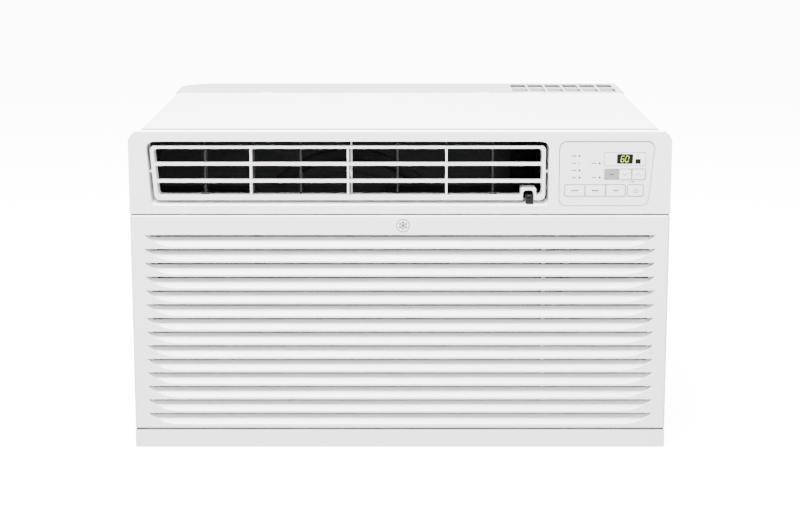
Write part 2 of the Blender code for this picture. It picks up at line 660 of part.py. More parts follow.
def louver_frame():
    left = OPENING_LEFT + FRAME_MARGIN
    right = OPENING_RIGHT - FRAME_MARGIN
    corners = [(left, FRAME_TOP), (right, FRAME_TOP), (right, FRAME_BOTTOM),
               (left + OPENING_SLANT, FRAME_BOTTOM)]
    frame = extruded(rounded(corners, 0.006, 3), "Y", FRAME_FRONT, FRAME_BACK)
    inner = [(left + FRAME_SIDE_BAR, FRAME_TOP - FRAME_TOP_BAR),
             (right - FRAME_SIDE_BAR, FRAME_TOP - FRAME_TOP_BAR),
             (right - FRAME_SIDE_BAR, FRAME_BOTTOM + FRAME_BOTTOM_BAR),
             (left + FRAME_SIDE_BAR + OPENING_SLANT, FRAME_BOTTOM + FRAME_BOTTOM_BAR)]
    cut(frame, extruded(rounded(inner, 0.004, 3), "Y", FRAME_FRONT - 0.01, FRAME_BACK + 0.01))
    blade_y = (FRAME_FRONT + 0.0005, FRAME_FRONT + 0.0005 + BLADE_DEPTH)
    blades = [box((left + FRAME_SIDE_BAR - 0.001 + OPENING_SLANT / 2, right - FRAME_SIDE_BAR + 0.001),
                  blade_y, (level - BLADE_THICKNESS / 2, level + BLADE_THICKNESS / 2))
              for level in BLADE_LEVELS]
    ribs = [box((x - RIB_WIDTH / 2, x + RIB_WIDTH / 2), (FRAME_FRONT + 0.0003, blade_y[1] - 0.0005),
                (FRAME_BOTTOM + 0.001, FRAME_TOP - 0.001)) for x in RIB_PLACES]
    lug = rod("X", (RIB_PLACES[1] - RIB_WIDTH / 2, TILT_Y, TILT_Z), 0.0040, RIB_WIDTH, 16)
    hood_half = VENT_ARCH_WIDTH / 2 + VENT_ARCH_WALL
    hood_x = VENT_X - 0.0012
    hood = extruded(rounded([(hood_x - hood_half, VENT_ARCH_TOP + VENT_ARCH_WALL),
                             (hood_x + hood_half, VENT_ARCH_TOP + VENT_ARCH_WALL),
                             (hood_x + hood_half, FRAME_BOTTOM + 0.0008),
                             (hood_x - hood_half, FRAME_BOTTOM + 0.0008)], 0.0015, 2),
                    "Y", FRAME_FRONT + 0.0002, FRAME_BACK - 0.0002)
    join(frame, together(blades), together(ribs), lug, hood,
         together(tilt_pins(PIVOT_RADIUS, 0.0055)))
    arch = extruded(rounded([(hood_x - hood_half + VENT_ARCH_WALL, VENT_ARCH_TOP),
                             (hood_x + hood_half - VENT_ARCH_WALL, VENT_ARCH_TOP),
                             (hood_x + hood_half - VENT_ARCH_WALL, FRAME_BOTTOM - 0.01),
                             (hood_x - hood_half + VENT_ARCH_WALL, FRAME_BOTTOM - 0.01)], 0.004, 3),
                    "Y", FRAME_FRONT - 0.01, FRAME_BACK + 0.01)
    middle_hole = rod("X", (RIB_PLACES[1] - 0.004, TILT_Y, TILT_Z), 0.0014 + RUNNING, 0.0065, 12)
    holes = [rod("Z", (x, VANE_Y, FRAME_BOTTOM - 0.01), VANE_PIN_RADIUS + RUNNING,
                 FRAME_TOP - FRAME_BOTTOM + 0.02, 10) for x in VANE_PLACES]
    cut(frame, arch, middle_hole, together(holes))
    part(frame, "louver_frame", WHITE, 0.45)
    pivot("louver_frame_tilt", (0.0, TILT_Y, TILT_Z), frame)


def vertical_vane(number, x):
    low = FRAME_BOTTOM + FRAME_BOTTOM_BAR + 0.0008
    high = FRAME_TOP - FRAME_TOP_BAR - 0.0008
    front = VANE_Y - 0.0035
    vane = box((x - VANE_THICKNESS / 2, x + VANE_THICKNESS / 2), (front, front + VANE_LENGTH),
               (low, high - 0.0018))
    barrel = rod("Z", (x, VANE_Y, low - 0.0003), VANE_PIN_RADIUS + 0.0012, high - low, 10)
    pins = rod("Z", (x, VANE_Y, FRAME_BOTTOM - 0.0004), VANE_PIN_RADIUS,
               FRAME_TOP - FRAME_BOTTOM + 0.0010, 10)
    link_pin = rod("Z", (x, VANE_Y + VANE_ARM, low + 0.010), VANE_PIN_RADIUS,
                   high + 0.0010 - low - 0.010, 10)
    join(vane, barrel, pins, link_pin)
    if x in (VANE_PLACES[0], VANE_PLACES[-1]):
        join(vane, box((x - 0.0045, x + 0.0045), (front - 0.0030, VANE_Y + 0.0001),
                       (low - 0.0002, low + 0.0014)))
    part(vane, f"vertical_vane_{number}", (0.32, 0.32, 0.33), 0.6)
    pivot(f"vertical_vane_{number}_pivot", (x, VANE_Y, TILT_Z), vane)


def link_bar(name, places, tab):
    y = VANE_Y + VANE_ARM
    z = FRAME_TOP - FRAME_TOP_BAR - 0.0016
    first = min(places)
    last = max(places)
    bar = box((first - 0.0040, last + 0.0040), (y - 0.0032, y + 0.0032), (z, z + LINK_THICKNESS))
    cut(bar, together([rod("Z", (x, y, z - 0.01), VANE_PIN_RADIUS + RUNNING, 0.02, 10)
                       for x in places]))
    part(bar, name, DARK, 0.6)
    pivot(name + "_pivot", (tab, y, z), bar)


# ---- fresh-air vent ----

def vent_control():
    axis_y = FRONT + 0.0035
    rod_back = PARTITION_Y - 0.0075
    shaft = rod("Y", (VENT_X, axis_y, VENT_ROD_Z), VENT_ROD_RADIUS, rod_back - axis_y, 12)
    eye = rod("X", (VENT_X - 0.0015, axis_y, VENT_ROD_Z), 0.0022, 0.0030, 16)
    join(shaft, eye)
    cut(shaft, rod("X", (VENT_X - 0.01, axis_y, VENT_ROD_Z), 0.0009 + RUNNING, 0.02, 12))
    part(shaft, "vent_rod", DARK, 0.5)
    tab_half = VENT_TAB_WIDTH / 2
    tab = box((VENT_X - tab_half, VENT_X + tab_half), (axis_y - 0.0022, axis_y + 0.0003),
              (VENT_ROD_Z - VENT_TAB_DROP, VENT_ROD_Z - 0.0026))
    ears = [box((VENT_X + side * 0.0031 - 0.0012, VENT_X + side * 0.0031 + 0.0012),
                (axis_y - 0.0022, axis_y + 0.0012), (VENT_ROD_Z - 0.0032, VENT_ROD_Z + 0.0018))
            for side in (-1, 1)]
    join(tab, together(ears),
         rod("X", (VENT_X - 0.0031, axis_y, VENT_ROD_Z), 0.0009, 0.0062, 12))
    part(tab, "vent_lever", DARK, 0.5)
    pivot("vent_lever_hinge", (VENT_X, axis_y, VENT_ROD_Z), tab)
    door_top = VENT_ROD_Z + 0.0020 + VENT_DOOR_HEIGHT
    door_y = DUCT_BACK - SCROLL_WALL - 0.0018
    half = VENT_DOOR_WIDTH / 2
    door = box((VENT_X - half, VENT_X + half), (door_y - 0.0007, door_y + 0.0007),
               (door_top - VENT_DOOR_HEIGHT, door_top))
    join(door, rod("X", (VENT_X - half + 0.0001, door_y, door_top), 0.0012,
                   VENT_DOOR_WIDTH - 0.0002, 10))
    part(door, "vent_door", WARM_GREY, 0.6)
    pivot("vent_door_hinge", (VENT_X, door_y, door_top), door)


# ---- controls ----

def control_overlay():
    front = FRONT + OVERLAY_RECESS
    back = front + OVERLAY_THICKNESS
    plate = extruded(rounded(overlay_corners(), OVERLAY_CORNER), "Y", front, back)
    inset = KEY_MARGIN - GAP
    holes = [box((x0 + inset, x1 - inset), (front - 0.01, back + 0.01), (z0 + inset, z1 - inset))
             for name, x0, x1, (z0, z1) in KEYS]
    holes += [box((x0, x1), (front - 0.01, back + 0.01), (z0, z1))
              for x0, x1, z0, z1 in (DISPLAY, RECEIVER)]
    cut(plate, together(holes))
    part(plate, "control_overlay", (0.80, 0.80, 0.79), 0.2)
    for name, (x0, x1, z0, z1) in (("display_window", DISPLAY), ("receiver_window", RECEIVER)):
        window = box((x0 + GAP, x1 - GAP), (front, back), (z0 + GAP, z1 - GAP))
        part(window, name, BLACK, 0.1)


def keys():
    front = FRONT + OVERLAY_RECESS - KEY_PROUD
    back = front + OVERLAY_THICKNESS
    for name, x0, x1, (z0, z1) in KEYS:
        cap = box((x0 + KEY_MARGIN, x1 - KEY_MARGIN), (front, back),
                  (z0 + KEY_MARGIN, z1 - KEY_MARGIN))
        middle = ((x0 + x1) / 2, back - 0.0005, (z0 + z1) / 2)
        join(cap, rod("Y", middle, 0.0025, KEY_STEM + 0.0005, 10))
        part(cap, name, (0.74, 0.74, 0.74) if name == "key_set" else (0.80, 0.80, 0.79), 0.3)


def display_board():
    front = FRONT + OVERLAY_RECESS + OVERLAY_THICKNESS + GAP + PLASTIC + GAP
    board = box((KEYS[3][1] - 0.004, KEYS[2][2] + 0.004), (front, front + BOARD_THICKNESS),
                (KEY_ROW_LOW[0] - 0.005, DISPLAY[3] + 0.008))
    part(board, "display_board", (0.05, 0.22, 0.12), 0.5)


# ---- indoor side ----

def air_filter():
    x = (COIL_LEFT - 0.002, COIL_RIGHT + 0.002)
    z = (0.048, GRILLE_TOP - 0.0082)
    y = (FILTER_Y, FILTER_Y + FILTER_THICKNESS)
    sheet = box(x, y, z)
    holes = []
    columns = 4
    rim = 0.010
    pane = (x[1] - x[0] - rim) / columns
    for depth in ((y[0] - 0.01, y[0] + 0.0020), (y[1] - 0.0020, y[1] + 0.01)):
        for i in range(columns):
            left = x[0] + rim + i * pane
            holes.append(box((left, left + pane - rim), depth, (z[0] + rim, z[1] - rim)))
    cut(sheet, together(holes))
    part(sheet, "air_filter", DARK, 0.8)


def finned_coil(name, plates, x, y, z, rows, stub_shift, stub_rows):
    """A block of fins with return bends on its right end, and the plates that carry it."""
    block = box(x, y, z)
    middle = (y[0] + y[1]) / 2
    stub_y = middle + stub_shift
    start = (z[0] + z[1]) / 2 - TUBE_PITCH * (rows - 1) / 2
    heights = [start + i * TUBE_PITCH for i in range(rows)]
    reach = 0.0065
    bends = []
    for low, high in zip(heights[0:-1:2], heights[1::2]):
        centre = (low + high) / 2
        radius = (high - low) / 2
        ring = arc((x[1] + reach, centre), radius, 90, -90, 6)
        route = [(x[1] - 0.004, middle, high)] + [(u, middle, v) for u, v in ring]
        route += [(x[1] - 0.004, middle, low)]
        bends.append(from_curve(tube([Vector(p) for p in route], TUBE_RADIUS)))
    stubs = [rod("X", (x[1] - 0.004, stub_y, heights[row]), PIPE_RADIUS, 0.0190, 12)
             for row in stub_rows]
    join(block, together(bends + stubs))
    part(block, name + "_coil", FIN, 0.4, 0.8)
    holes = [(middle, height) for height in heights]
    holes += [(stub_y, heights[row]) for row in stub_rows]
    for label, low, foot in plates:
        sheet = box((low, low + SHEET), y, (foot, z[1]))
        cut(sheet, together([rod("X", (low - 0.01, hole_y, hole_z),
                                 TUBE_RADIUS + GAP, 0.02, 8)
                             for hole_y, hole_z in holes[:rows]]))
        if stub_rows and low > x[0]:
            cut(sheet, together([rod("X", (low - 0.01, hole_y, hole_z), PIPE_RADIUS + GAP, 0.02, 10)
                                 for hole_y, hole_z in holes[rows:]]))
        part(sheet, label, STEEL, 0.5, 0.8)
    return stub_y, [heights[row] for row in stub_rows]


def drain_pan():
    pan = tray((COIL_LEFT - 0.008, COIL_RIGHT + 0.012), (WRAP_BACK + 0.001, COIL_BACK + 0.0016),
               (0.0240, 0.0420), SHEET, "+Z")
    return part(pan, "drain_pan", FOAM, 0.7)


def blower():
    plate = box((COIL_LEFT - 0.004, COIL_RIGHT + 0.010), (ORIFICE_Y, ORIFICE_BACK),
                (0.0245, OPENING_FLOOR - SCROLL_WALL - GAP))
    mouth = WHEEL_RADIUS - 0.014
    cut(plate, rod("Y", (FAN_X, ORIFICE_Y - 0.01, FAN_Z), mouth, 0.02, 32))
    part(plate, "blower_orifice", FOAM, 0.6)

    # scroll wall: its radius grows from the tongue round to the outlet, which opens upwards
    tongue = math.radians(60)
    sweep = math.radians(240)
    count = 22
    top = OPENING_FLOOR - SCROLL_WALL - 0.0013
    path = []
    for i in range(count + 1):
        angle = tongue - sweep * i / count
        reach = WHEEL_RADIUS + 0.008 + 0.042 * i / count
        path.append((FAN_X + reach * math.cos(angle), FAN_Z + reach * math.sin(angle)))
    path = [(path[0][0] + 0.009, top)] + path + [(path[-1][0], top)]
    work = bmesh.new()
    front = ORIFICE_BACK + GAP
    verts = [work.verts.new((u, front, v)) for u, v in path]
    edges = [work.edges.new(pair) for pair in zip(verts, verts[1:])]
    grown_edges = bmesh.ops.extrude_edge_only(work, edges=edges)["geom"]
    raised = [item for item in grown_edges if isinstance(item, bmesh.types.BMVert)]
    bmesh.ops.translate(work, verts=raised, vec=(0.0, PARTITION_Y - GAP - front, 0.0))
    mesh = bpy.data.meshes.new("scroll")
    work.to_mesh(mesh)
    work.free()
    scroll = bpy.data.objects.new("scroll", mesh)
    bpy.context.scene.collection.objects.link(scroll)
    modify(scroll, "SOLIDIFY", thickness=SCROLL_WALL, offset=0.0)
    part(scroll, "scroll_housing", FOAM, 0.6)

    y0 = ORIFICE_BACK + 0.0040
    y1 = y0 + WHEEL_WIDTH
    wheel = rod("Y", (FAN_X, y1 - 0.002, FAN_Z), WHEEL_RADIUS, 0.002, 40)
    band = turned([(WHEEL_RADIUS - 0.013, y0 + 0.003), (WHEEL_RADIUS, y0 + 0.003),
                   (WHEEL_RADIUS, y0), (WHEEL_RADIUS - 0.013, y0)], "Y", (FAN_X, 0.0, FAN_Z), 40)
    hub = rod("Y", (FAN_X, y1 - 0.022, FAN_Z), 0.011, 0.021, 20)
    blades = []
    for i in range(WHEEL_BLADES):
        blade = box((WHEEL_RADIUS - 0.0125, WHEEL_RADIUS - 0.0010), (y0 + 0.001, y1 - 0.001),
                    (-0.0006, 0.0006))
        lean = Matrix.Translation((WHEEL_RADIUS - 0.007, 0, 0))
        blade.data.transform(lean @ Matrix.Rotation(math.radians(-28), 4, "Y") @ lean.inverted())
        blade.data.transform(Matrix.Translation((FAN_X, 0.0, FAN_Z))
                             @ Matrix.Rotation(math.tau * i / WHEEL_BLADES, 4, "Y"))
        blades.append(blade)
    join(wheel, hub, together(blades), band)
    cut(wheel, rod("Y", (FAN_X, y0 - 0.01, FAN_Z), SHAFT_RADIUS + GAP, WHEEL_WIDTH + 0.02, 16))
    return part(wheel, "blower_wheel", DARK, 0.5)


def discharge_duct():
    wall = SCROLL_WALL
    duct = tray((OPENING_LEFT - wall, OPENING_RIGHT + wall), (DUCT_FRONT, DUCT_BACK),
                (OPENING_FLOOR - wall, OPENING_TOP + wall), wall, "-Y")
    outlet = box((FAN_X - WHEEL_RADIUS - 0.048, FAN_X + 0.046),
                 (ORIFICE_BACK + 0.001, DUCT_BACK - wall), (OPENING_FLOOR - 0.02, OPENING_FLOOR + 0.001))
    guide = box((VENT_X - 0.005, VENT_X + 0.005), (DUCT_FRONT + 0.030, DUCT_FRONT + 0.036),
                (OPENING_FLOOR - 0.001, VENT_ROD_Z + 0.005))
    cut(duct, outlet, vent_window())
    join(duct, guide)
    cut(duct, rod("Y", (VENT_X, DUCT_FRONT + 0.02, VENT_ROD_Z), VENT_ROD_RADIUS + GAP, 0.03, 12))
    return part(duct, "discharge_duct", DARK, 0.7)


def vent_window():
    edge = 0.004
    half = VENT_DOOR_WIDTH / 2 - edge
    low = VENT_ROD_Z + 0.0020 + edge
    return box((VENT_X - half, VENT_X + half), (PARTITION_Y - 0.02, PARTITION_Y + 0.02),
               (low, low + VENT_DOOR_HEIGHT - 2 * edge))


def partition():
    wall = box((-INSIDE_HALF, INSIDE_HALF), (PARTITION_Y, PARTITION_Y + 0.002),
               (FLOOR, COVER_TOP - 0.003))
    cut(wall, rod("Y", (FAN_X, PARTITION_Y - 0.01, FAN_Z), 0.012, 0.02, 20), vent_window(),
        together([rod("Y", (PIPE_X, PARTITION_Y - 0.01, z), 0.0065, 0.02, 12) for z in PIPE_HOLES]))
    return part(wall, "partition", FOAM, 0.7)


def electronics():
    x = (COIL_RIGHT + 0.034, INSIDE_HALF - 0.003)
    y = (FRONT + 0.0255, PARTITION_Y - 0.0145)
    z = (0.060, EVAPORATOR_Z[1])
    case = tray(x, y, z, SHEET, "-Y")
    part(case, "control_box", STEEL, 0.5, 0.8)
    board = box((x[0] + 0.008, x[1] - 0.008), (y[1] - 0.030, y[1] - 0.030 + BOARD_THICKNESS),
                (z[0] + 0.020, z[1] - 0.010))
    part(board, "control_board", (0.05, 0.22, 0.12), 0.5)
    can = turned([(0.0, 0.070), (0.016, 0.070), (0.018, 0.067), (0.018, 0.0), (0.0, 0.0)], "Z",
                 ((x[0] + x[1]) / 2, y[0] + 0.028, z[0] + SHEET + GAP), 20)
    part(can, "capacitor", STEEL, 0.3, 0.9)


# ---- outdoor side ----

def fan_drive():
    place = (FAN_X, 0.0, FAN_Z)
    shaft_start = ORIFICE_BACK + 0.0080
    part(rod("Y", (FAN_X, shaft_start, FAN_Z), SHAFT_RADIUS, FAN_PLANE + 0.012 - shaft_start, 16),
         "fan_shaft", STEEL, 0.3, 1.0)
    front = PARTITION_Y + 0.006
    motor = turned([(0.0, MOTOR_BACK + 0.010), (0.013, MOTOR_BACK + 0.010), (0.013, MOTOR_BACK),
                    (MOTOR_RADIUS - 0.006, MOTOR_BACK - 0.003), (MOTOR_RADIUS, MOTOR_BACK - 0.010),
                    (MOTOR_RADIUS, front + 0.010), (MOTOR_RADIUS - 0.006, front + 0.003),
                    (0.013, front), (0.0, front)], "Y", place, 24)
    cut(motor, rod("Y", (FAN_X, front - 0.02, FAN_Z), SHAFT_RADIUS + GAP, 0.15, 16))
    part(motor, "fan_motor", (0.18, 0.18, 0.19), 0.5, 0.4)
    plate_y = MOTOR_BACK + 0.0005
    bracket = box((FAN_X - 0.050, FAN_X + 0.050), (plate_y, plate_y + 0.002),
                  (FLOOR, FAN_Z + 0.045))
    foot = box((FAN_X - 0.050, FAN_X + 0.050), (plate_y, plate_y + 0.040), (FLOOR, FLOOR + 0.002))
    join(bracket, foot)
    cut(bracket, rod("Y", (FAN_X, plate_y - 0.01, FAN_Z), 0.013 + GAP, 0.03, 20))
    part(bracket, "motor_bracket", STEEL, 0.5, 0.8)

    fan = rod("Y", (FAN_X, FAN_PLANE - 0.010, FAN_Z), 0.022, 0.020, 20)
    blades = []
    for i in range(FAN_BLADES):
        bpy.ops.mesh.primitive_grid_add(x_subdivisions=4, y_subdivisions=3, size=1)
        blade = bpy.context.object
        for vert in blade.data.vertices:
            along = 0.018 + (vert.co.x + 0.5) * (FAN_RADIUS - 0.0195)
            chord = (0.030 + 0.42 * along) * vert.co.y
            pitch = math.radians(38 - 80 * along)
            vert.co = (along, chord * math.sin(pitch) * 0.8, chord * math.cos(pitch))
        modify(blade, "SOLIDIFY", thickness=0.0015, offset=0.0)
        baked(blade)
        blade.data.transform(Matrix.Translation((FAN_X, FAN_PLANE, FAN_Z))
                             @ Matrix.Rotation(math.tau * i / FAN_BLADES, 4, "Y"))
        blades.append(blade)
    join(fan, together(blades))
    cut(fan, rod("Y", (FAN_X, FAN_PLANE - 0.03, FAN_Z), SHAFT_RADIUS + GAP, 0.06, 16))
    part(fan, "condenser_fan", DARK, 0.5)

    x = (CONDENSER_LEFT - 0.004, CONDENSER_RIGHT - 0.004)
    hood = tray(x, (FAN_PLANE, CONDENSER_Y - 0.0005), (FLOOR, CONDENSER_TOP + 0.008), 0.0015, "+Y")
    hole = FAN_RADIUS + 0.005
    ring = turned([(hole, FAN_PLANE + 0.001), (hole + 0.002, FAN_PLANE + 0.001),
                   (hole + 0.002, FAN_PLANE - 0.012), (hole, FAN_PLANE - 0.012)], "Y", place, 40)
    cut(hood, rod("Y", (FAN_X, FAN_PLANE - 0.02, FAN_Z), hole + 0.001, 0.04, 40))
    join(hood, ring)
    part(hood, "fan_shroud", STEEL, 0.5, 0.8)


def compressor():
    place = (COMPRESSOR_X, COMPRESSOR_Y, 0.0)
    r = COMPRESSOR_RADIUS
    shell = turned([(0.0, COMPRESSOR_TOP), (r * 0.55, COMPRESSOR_TOP - 0.002),
                    (r * 0.88, COMPRESSOR_TOP - 0.011), (r, COMPRESSOR_TOP - 0.028), (r, 0.058), (r * 0.88, 0.044), (r * 0.55, 0.037),
                    (0.0, 0.037)], "Z", place, 28)
    spots = [(COMPRESSOR_X + 0.072 * math.cos(a), COMPRESSOR_Y + 0.072 * math.sin(a))
             for a in (math.radians(30), math.radians(150), math.radians(270))]
    plate = extruded(rounded(grown(spots, 0.008), 0.012, 4), "Z", 0.0360, 0.0385)
    join(shell, plate)
    part(shell, "compressor", BLACK, 0.45, 0.2)
    for i, (x, y) in enumerate(spots):
        foot = turned([(0.0, 0.0357), (0.008, 0.0357), (0.008, 0.026), (0.006, 0.020),
                       (0.010, 0.012), (0.010, FLOOR), (0.0, FLOOR)], "Z", (x, y, 0.0), 14)
        part(foot, f"compressor_foot_{i + 1}", BLACK, 0.9)
    cap = turned([(0.0, 0.016), (0.012, 0.016), (0.018, 0.011), (0.018, 0.0), (0.0, 0.0)], "Z",
                 (COMPRESSOR_X - 0.012, COMPRESSOR_Y, COMPRESSOR_TOP + GAP), 20)
    part(cap, "terminal_cover", BLACK, 0.6)
    can = turned([(0.0, 0.235), (0.006, 0.235), (0.016, 0.222), (0.016, 0.128), (0.006, 0.115),
                  (0.0, 0.115)], "Z", (ACCUMULATOR[0], ACCUMULATOR[1], 0.0), 20)
    part(can, "accumulator", BLACK, 0.45, 0.2)


def pipes(condenser_y, condenser_stubs, evaporator_y, evaporator_stubs):
    right = CONDENSER_RIGHT + 0.0150 + GAP
    start = COIL_RIGHT + 0.0150 + GAP
    low, high = condenser_stubs
    top = COMPRESSOR_TOP + 0.050
    lift_x = COMPRESSOR_X + 0.020
    hot = smooth_route([(right, condenser_y, high), (right + 0.020, condenser_y, high),
                        (lift_x, CONDENSER_Y - 0.080, top), (lift_x, COMPRESSOR_Y, top),
                        (lift_x, COMPRESSOR_Y, COMPRESSOR_TOP - 0.0005)], 0.014)
    part(tube(hot, PIPE_RADIUS), "discharge_pipe", COPPER, 0.3, 1.0)
    cold_low, cold_high = evaporator_stubs
    ax, ay = ACCUMULATOR
    cold = smooth_route([(start, evaporator_y, cold_high), (PIPE_X, evaporator_y, cold_high),
                         (PIPE_X, PARTITION_Y + 0.030, cold_high),
                         (PIPE_X, PARTITION_Y + 0.050, 0.262), (ax, ay, 0.262),
                         (ax, ay, 0.2353)], 0.012)
    part(tube(cold, PIPE_RADIUS), "suction_pipe", COPPER, 0.3, 1.0)
    coil_x = CONDENSER_RIGHT + 0.028
    coil_y = PARTITION_Y + 0.055
    ring = 0.013
    turns = 3
    steps = 10
    helix = [(coil_x - ring * math.cos(math.tau * i / steps),
              coil_y + ring * math.sin(math.tau * i / steps),
              0.075 + 0.006 * i / steps) for i in range(turns * steps + 1)]
    lead = [(right, condenser_y, low), (right + 0.006, condenser_y, low),
            (right + 0.006, condenser_y - 0.030, 0.075),
            (helix[0][0], coil_y + 0.030, 0.075), helix[0]]
    tail = [helix[-1], (helix[-1][0], coil_y - 0.022, helix[-1][2]),
            (PIPE_X, PARTITION_Y + 0.014, cold_low), (PIPE_X, evaporator_y, cold_low),
            (start, evaporator_y, cold_low)]
    route = smooth_route(lead, 0.008, 3)[:-1] + [Vector(p) for p in helix]
    route += smooth_route(tail, 0.006, 3)[1:]
    part(tube(route, 0.0013, 1), "capillary_tube", COPPER, 0.3, 1.0)


def cover_screw(name, side):
    head = COVER_HALF + GAP
    lean = [(0.0, head + 0.0018), (0.0030, head + 0.0018), (0.0045, head + 0.0006), (0.0045, head),
            (0.0020, head), (0.0020, PAN_HALF - 0.004), (0.0, PAN_HALF - 0.004)]
    screw = turned(lean, "X", (0.0, SCREW_Y, SCREW_Z), 14)
    if side < 0:
        screw.matrix_world = (Matrix.Translation((0.0, SCREW_Y, SCREW_Z))
                              @ Matrix.Rotation(-math.pi / 2, 4, "Y"))
    part(screw, name, STEEL, 0.4, 0.9)


def power_cord_bushing():
    inside = COVER_HALF - 0.004
    outside = COVER_HALF + GAP
    ring = turned([(0.0040, outside + 0.002), (0.0110, outside + 0.002), (0.0110, outside),
                   (0.0077, outside), (0.0077, inside), (0.0040, inside)], "X",
                  (0.0, CORD_Y, CORD_Z), 20)
    part(ring, "power_cord_bushing", BLACK, 0.7)


def build():
    base_pan()
    cabinet_cover()
    rear_shroud()
    front_panel()
    inlet_grille()
    louver_frame()
    for number, x in enumerate(VANE_PLACES):
        vertical_vane(number + 1, x)
    link_bar("link_bar_left", VANE_PLACES[:3], VANE_PLACES[0])
    link_bar("link_bar_right", VANE_PLACES[3:], VANE_PLACES[-1])
    vent_control()
    control_overlay()
    keys()
    display_board()
    air_filter()
    evaporator_y, evaporator_stubs = finned_coil(
        "evaporator", [("evaporator_plate", COIL_RIGHT + GAP, 0.0260)], (COIL_LEFT, COIL_RIGHT),
        (COIL_Y, COIL_BACK), EVAPORATOR_Z, EVAPORATOR_ROWS, STUB_SHIFT, (0, EVAPORATOR_ROWS - 1))
    drain_pan()
    blower()
    discharge_duct()
    partition()
    electronics()
    condenser_y, condenser_stubs = finned_coil(
        "condenser", [("condenser_plate_left", CONDENSER_LEFT - SHEET - GAP, FLOOR),
                      ("condenser_plate_right", CONDENSER_RIGHT + GAP, FLOOR)],
        (CONDENSER_LEFT, CONDENSER_RIGHT), (CONDENSER_Y, CONDENSER_Y + CONDENSER_THICKNESS),
        (0.030, CONDENSER_TOP), CONDENSER_ROWS, -STUB_SHIFT, (0, CONDENSER_ROWS - 1))
    fan_drive()
    compressor()
    pipes(condenser_y, condenser_stubs, evaporator_y, evaporator_stubs)
    cover_screw("cover_screw_left", -1)
    cover_screw("cover_screw_right", 1)
    power_cord_bushing()


build()
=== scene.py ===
import math

import bpy
from mathutils import Matrix, Vector


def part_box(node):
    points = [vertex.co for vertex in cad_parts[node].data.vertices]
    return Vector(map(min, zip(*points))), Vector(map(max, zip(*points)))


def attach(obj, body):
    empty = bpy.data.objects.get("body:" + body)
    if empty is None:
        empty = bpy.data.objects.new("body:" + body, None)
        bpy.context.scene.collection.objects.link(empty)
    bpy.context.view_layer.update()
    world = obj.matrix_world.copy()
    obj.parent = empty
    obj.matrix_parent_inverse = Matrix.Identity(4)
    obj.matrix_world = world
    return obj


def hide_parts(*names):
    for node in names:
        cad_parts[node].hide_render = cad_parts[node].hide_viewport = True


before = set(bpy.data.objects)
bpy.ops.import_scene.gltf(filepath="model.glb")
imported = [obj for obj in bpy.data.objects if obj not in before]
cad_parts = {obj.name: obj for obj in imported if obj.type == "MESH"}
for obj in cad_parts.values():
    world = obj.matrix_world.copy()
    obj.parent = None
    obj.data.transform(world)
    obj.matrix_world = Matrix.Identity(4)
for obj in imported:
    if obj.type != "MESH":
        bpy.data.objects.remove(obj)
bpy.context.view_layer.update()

# ---- camera, light and floor ----
# The unit stands on a plain white floor in soft studio light. The camera is low and straight in
# front of it, and looks a little down on the top of the case.

panel_low, panel_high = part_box("front_panel")
front = panel_low[1]
half = panel_high[0]

camera_distance = 2.157
camera_height = 0.645
camera_tilt = math.radians(11.31)
camera_data = bpy.data.cameras.new("camera")
camera_data.lens = 87.3
camera_data.sensor_width = 36.0
camera = bpy.data.objects.new("camera", camera_data)
camera.location = (0.0, front - camera_distance, camera_height)
camera.rotation_euler = (math.radians(90) - camera_tilt, 0.0, 0.0)
bpy.context.scene.collection.objects.link(camera)
bpy.context.scene.camera = camera

world = bpy.data.worlds.new("studio")
world.use_nodes = True
world.node_tree.nodes["Background"].inputs["Color"].default_value = (1.0, 1.0, 1.0, 1.0)
world.node_tree.nodes["Background"].inputs["Strength"].default_value = 0.75
bpy.context.scene.world = world

for name, place, aim, size, power in (
        ("key_light", (-0.4, -1.7, 2.8), (0.0, -0.25, 0.15), 1.3, 560),
        ("fill_light", (1.2, -3.0, 1.0), (0.0, -0.25, 0.15), 1.4, 60),
        ("top_light", (0.0, 0.3, 2.6), (0.0, 0.0, 0.3), 1.8, 430)):
    light_data = bpy.data.lights.new(name, "AREA")
    light_data.size = size
    light_data.energy = power
    light = bpy.data.objects.new(name, light_data)
    light.location = place
    direction = Vector(aim) - Vector(place)
    light.rotation_euler = direction.to_track_quat("-Z", "Y").to_euler()
    bpy.context.scene.collection.objects.link(light)

bpy.ops.mesh.primitive_plane_add(size=14.0, location=(0.0, 3.0, -0.0002))
floor = bpy.context.object
floor.name = "floor"
floor_paint = bpy.data.materials.new("floor_paint")
floor_paint.use_nodes = True
floor_shader = floor_paint.node_tree.nodes["Principled BSDF"]
floor_shader.inputs["Base Color"].default_value = (0.97, 0.97, 0.97, 1)
floor_shader.inputs["Roughness"].default_value = 0.8
floor_shader.inputs["Specular IOR Level"].default_value = 0.1
floor_shader.inputs["Emission Color"].default_value = (1.0, 1.0, 1.0, 1.0)
floor_shader.inputs["Emission Strength"].default_value = 10.0
floor.data.materials.append(floor_paint)
floor.visible_diffuse = False
floor.visible_glossy = False

# ---- front panel ----
# A white injection-moulded front with a fine spark-eroded grain. It carries the louver opening,
# the seat of the control overlay, the rails beside the grille and the sill under it.


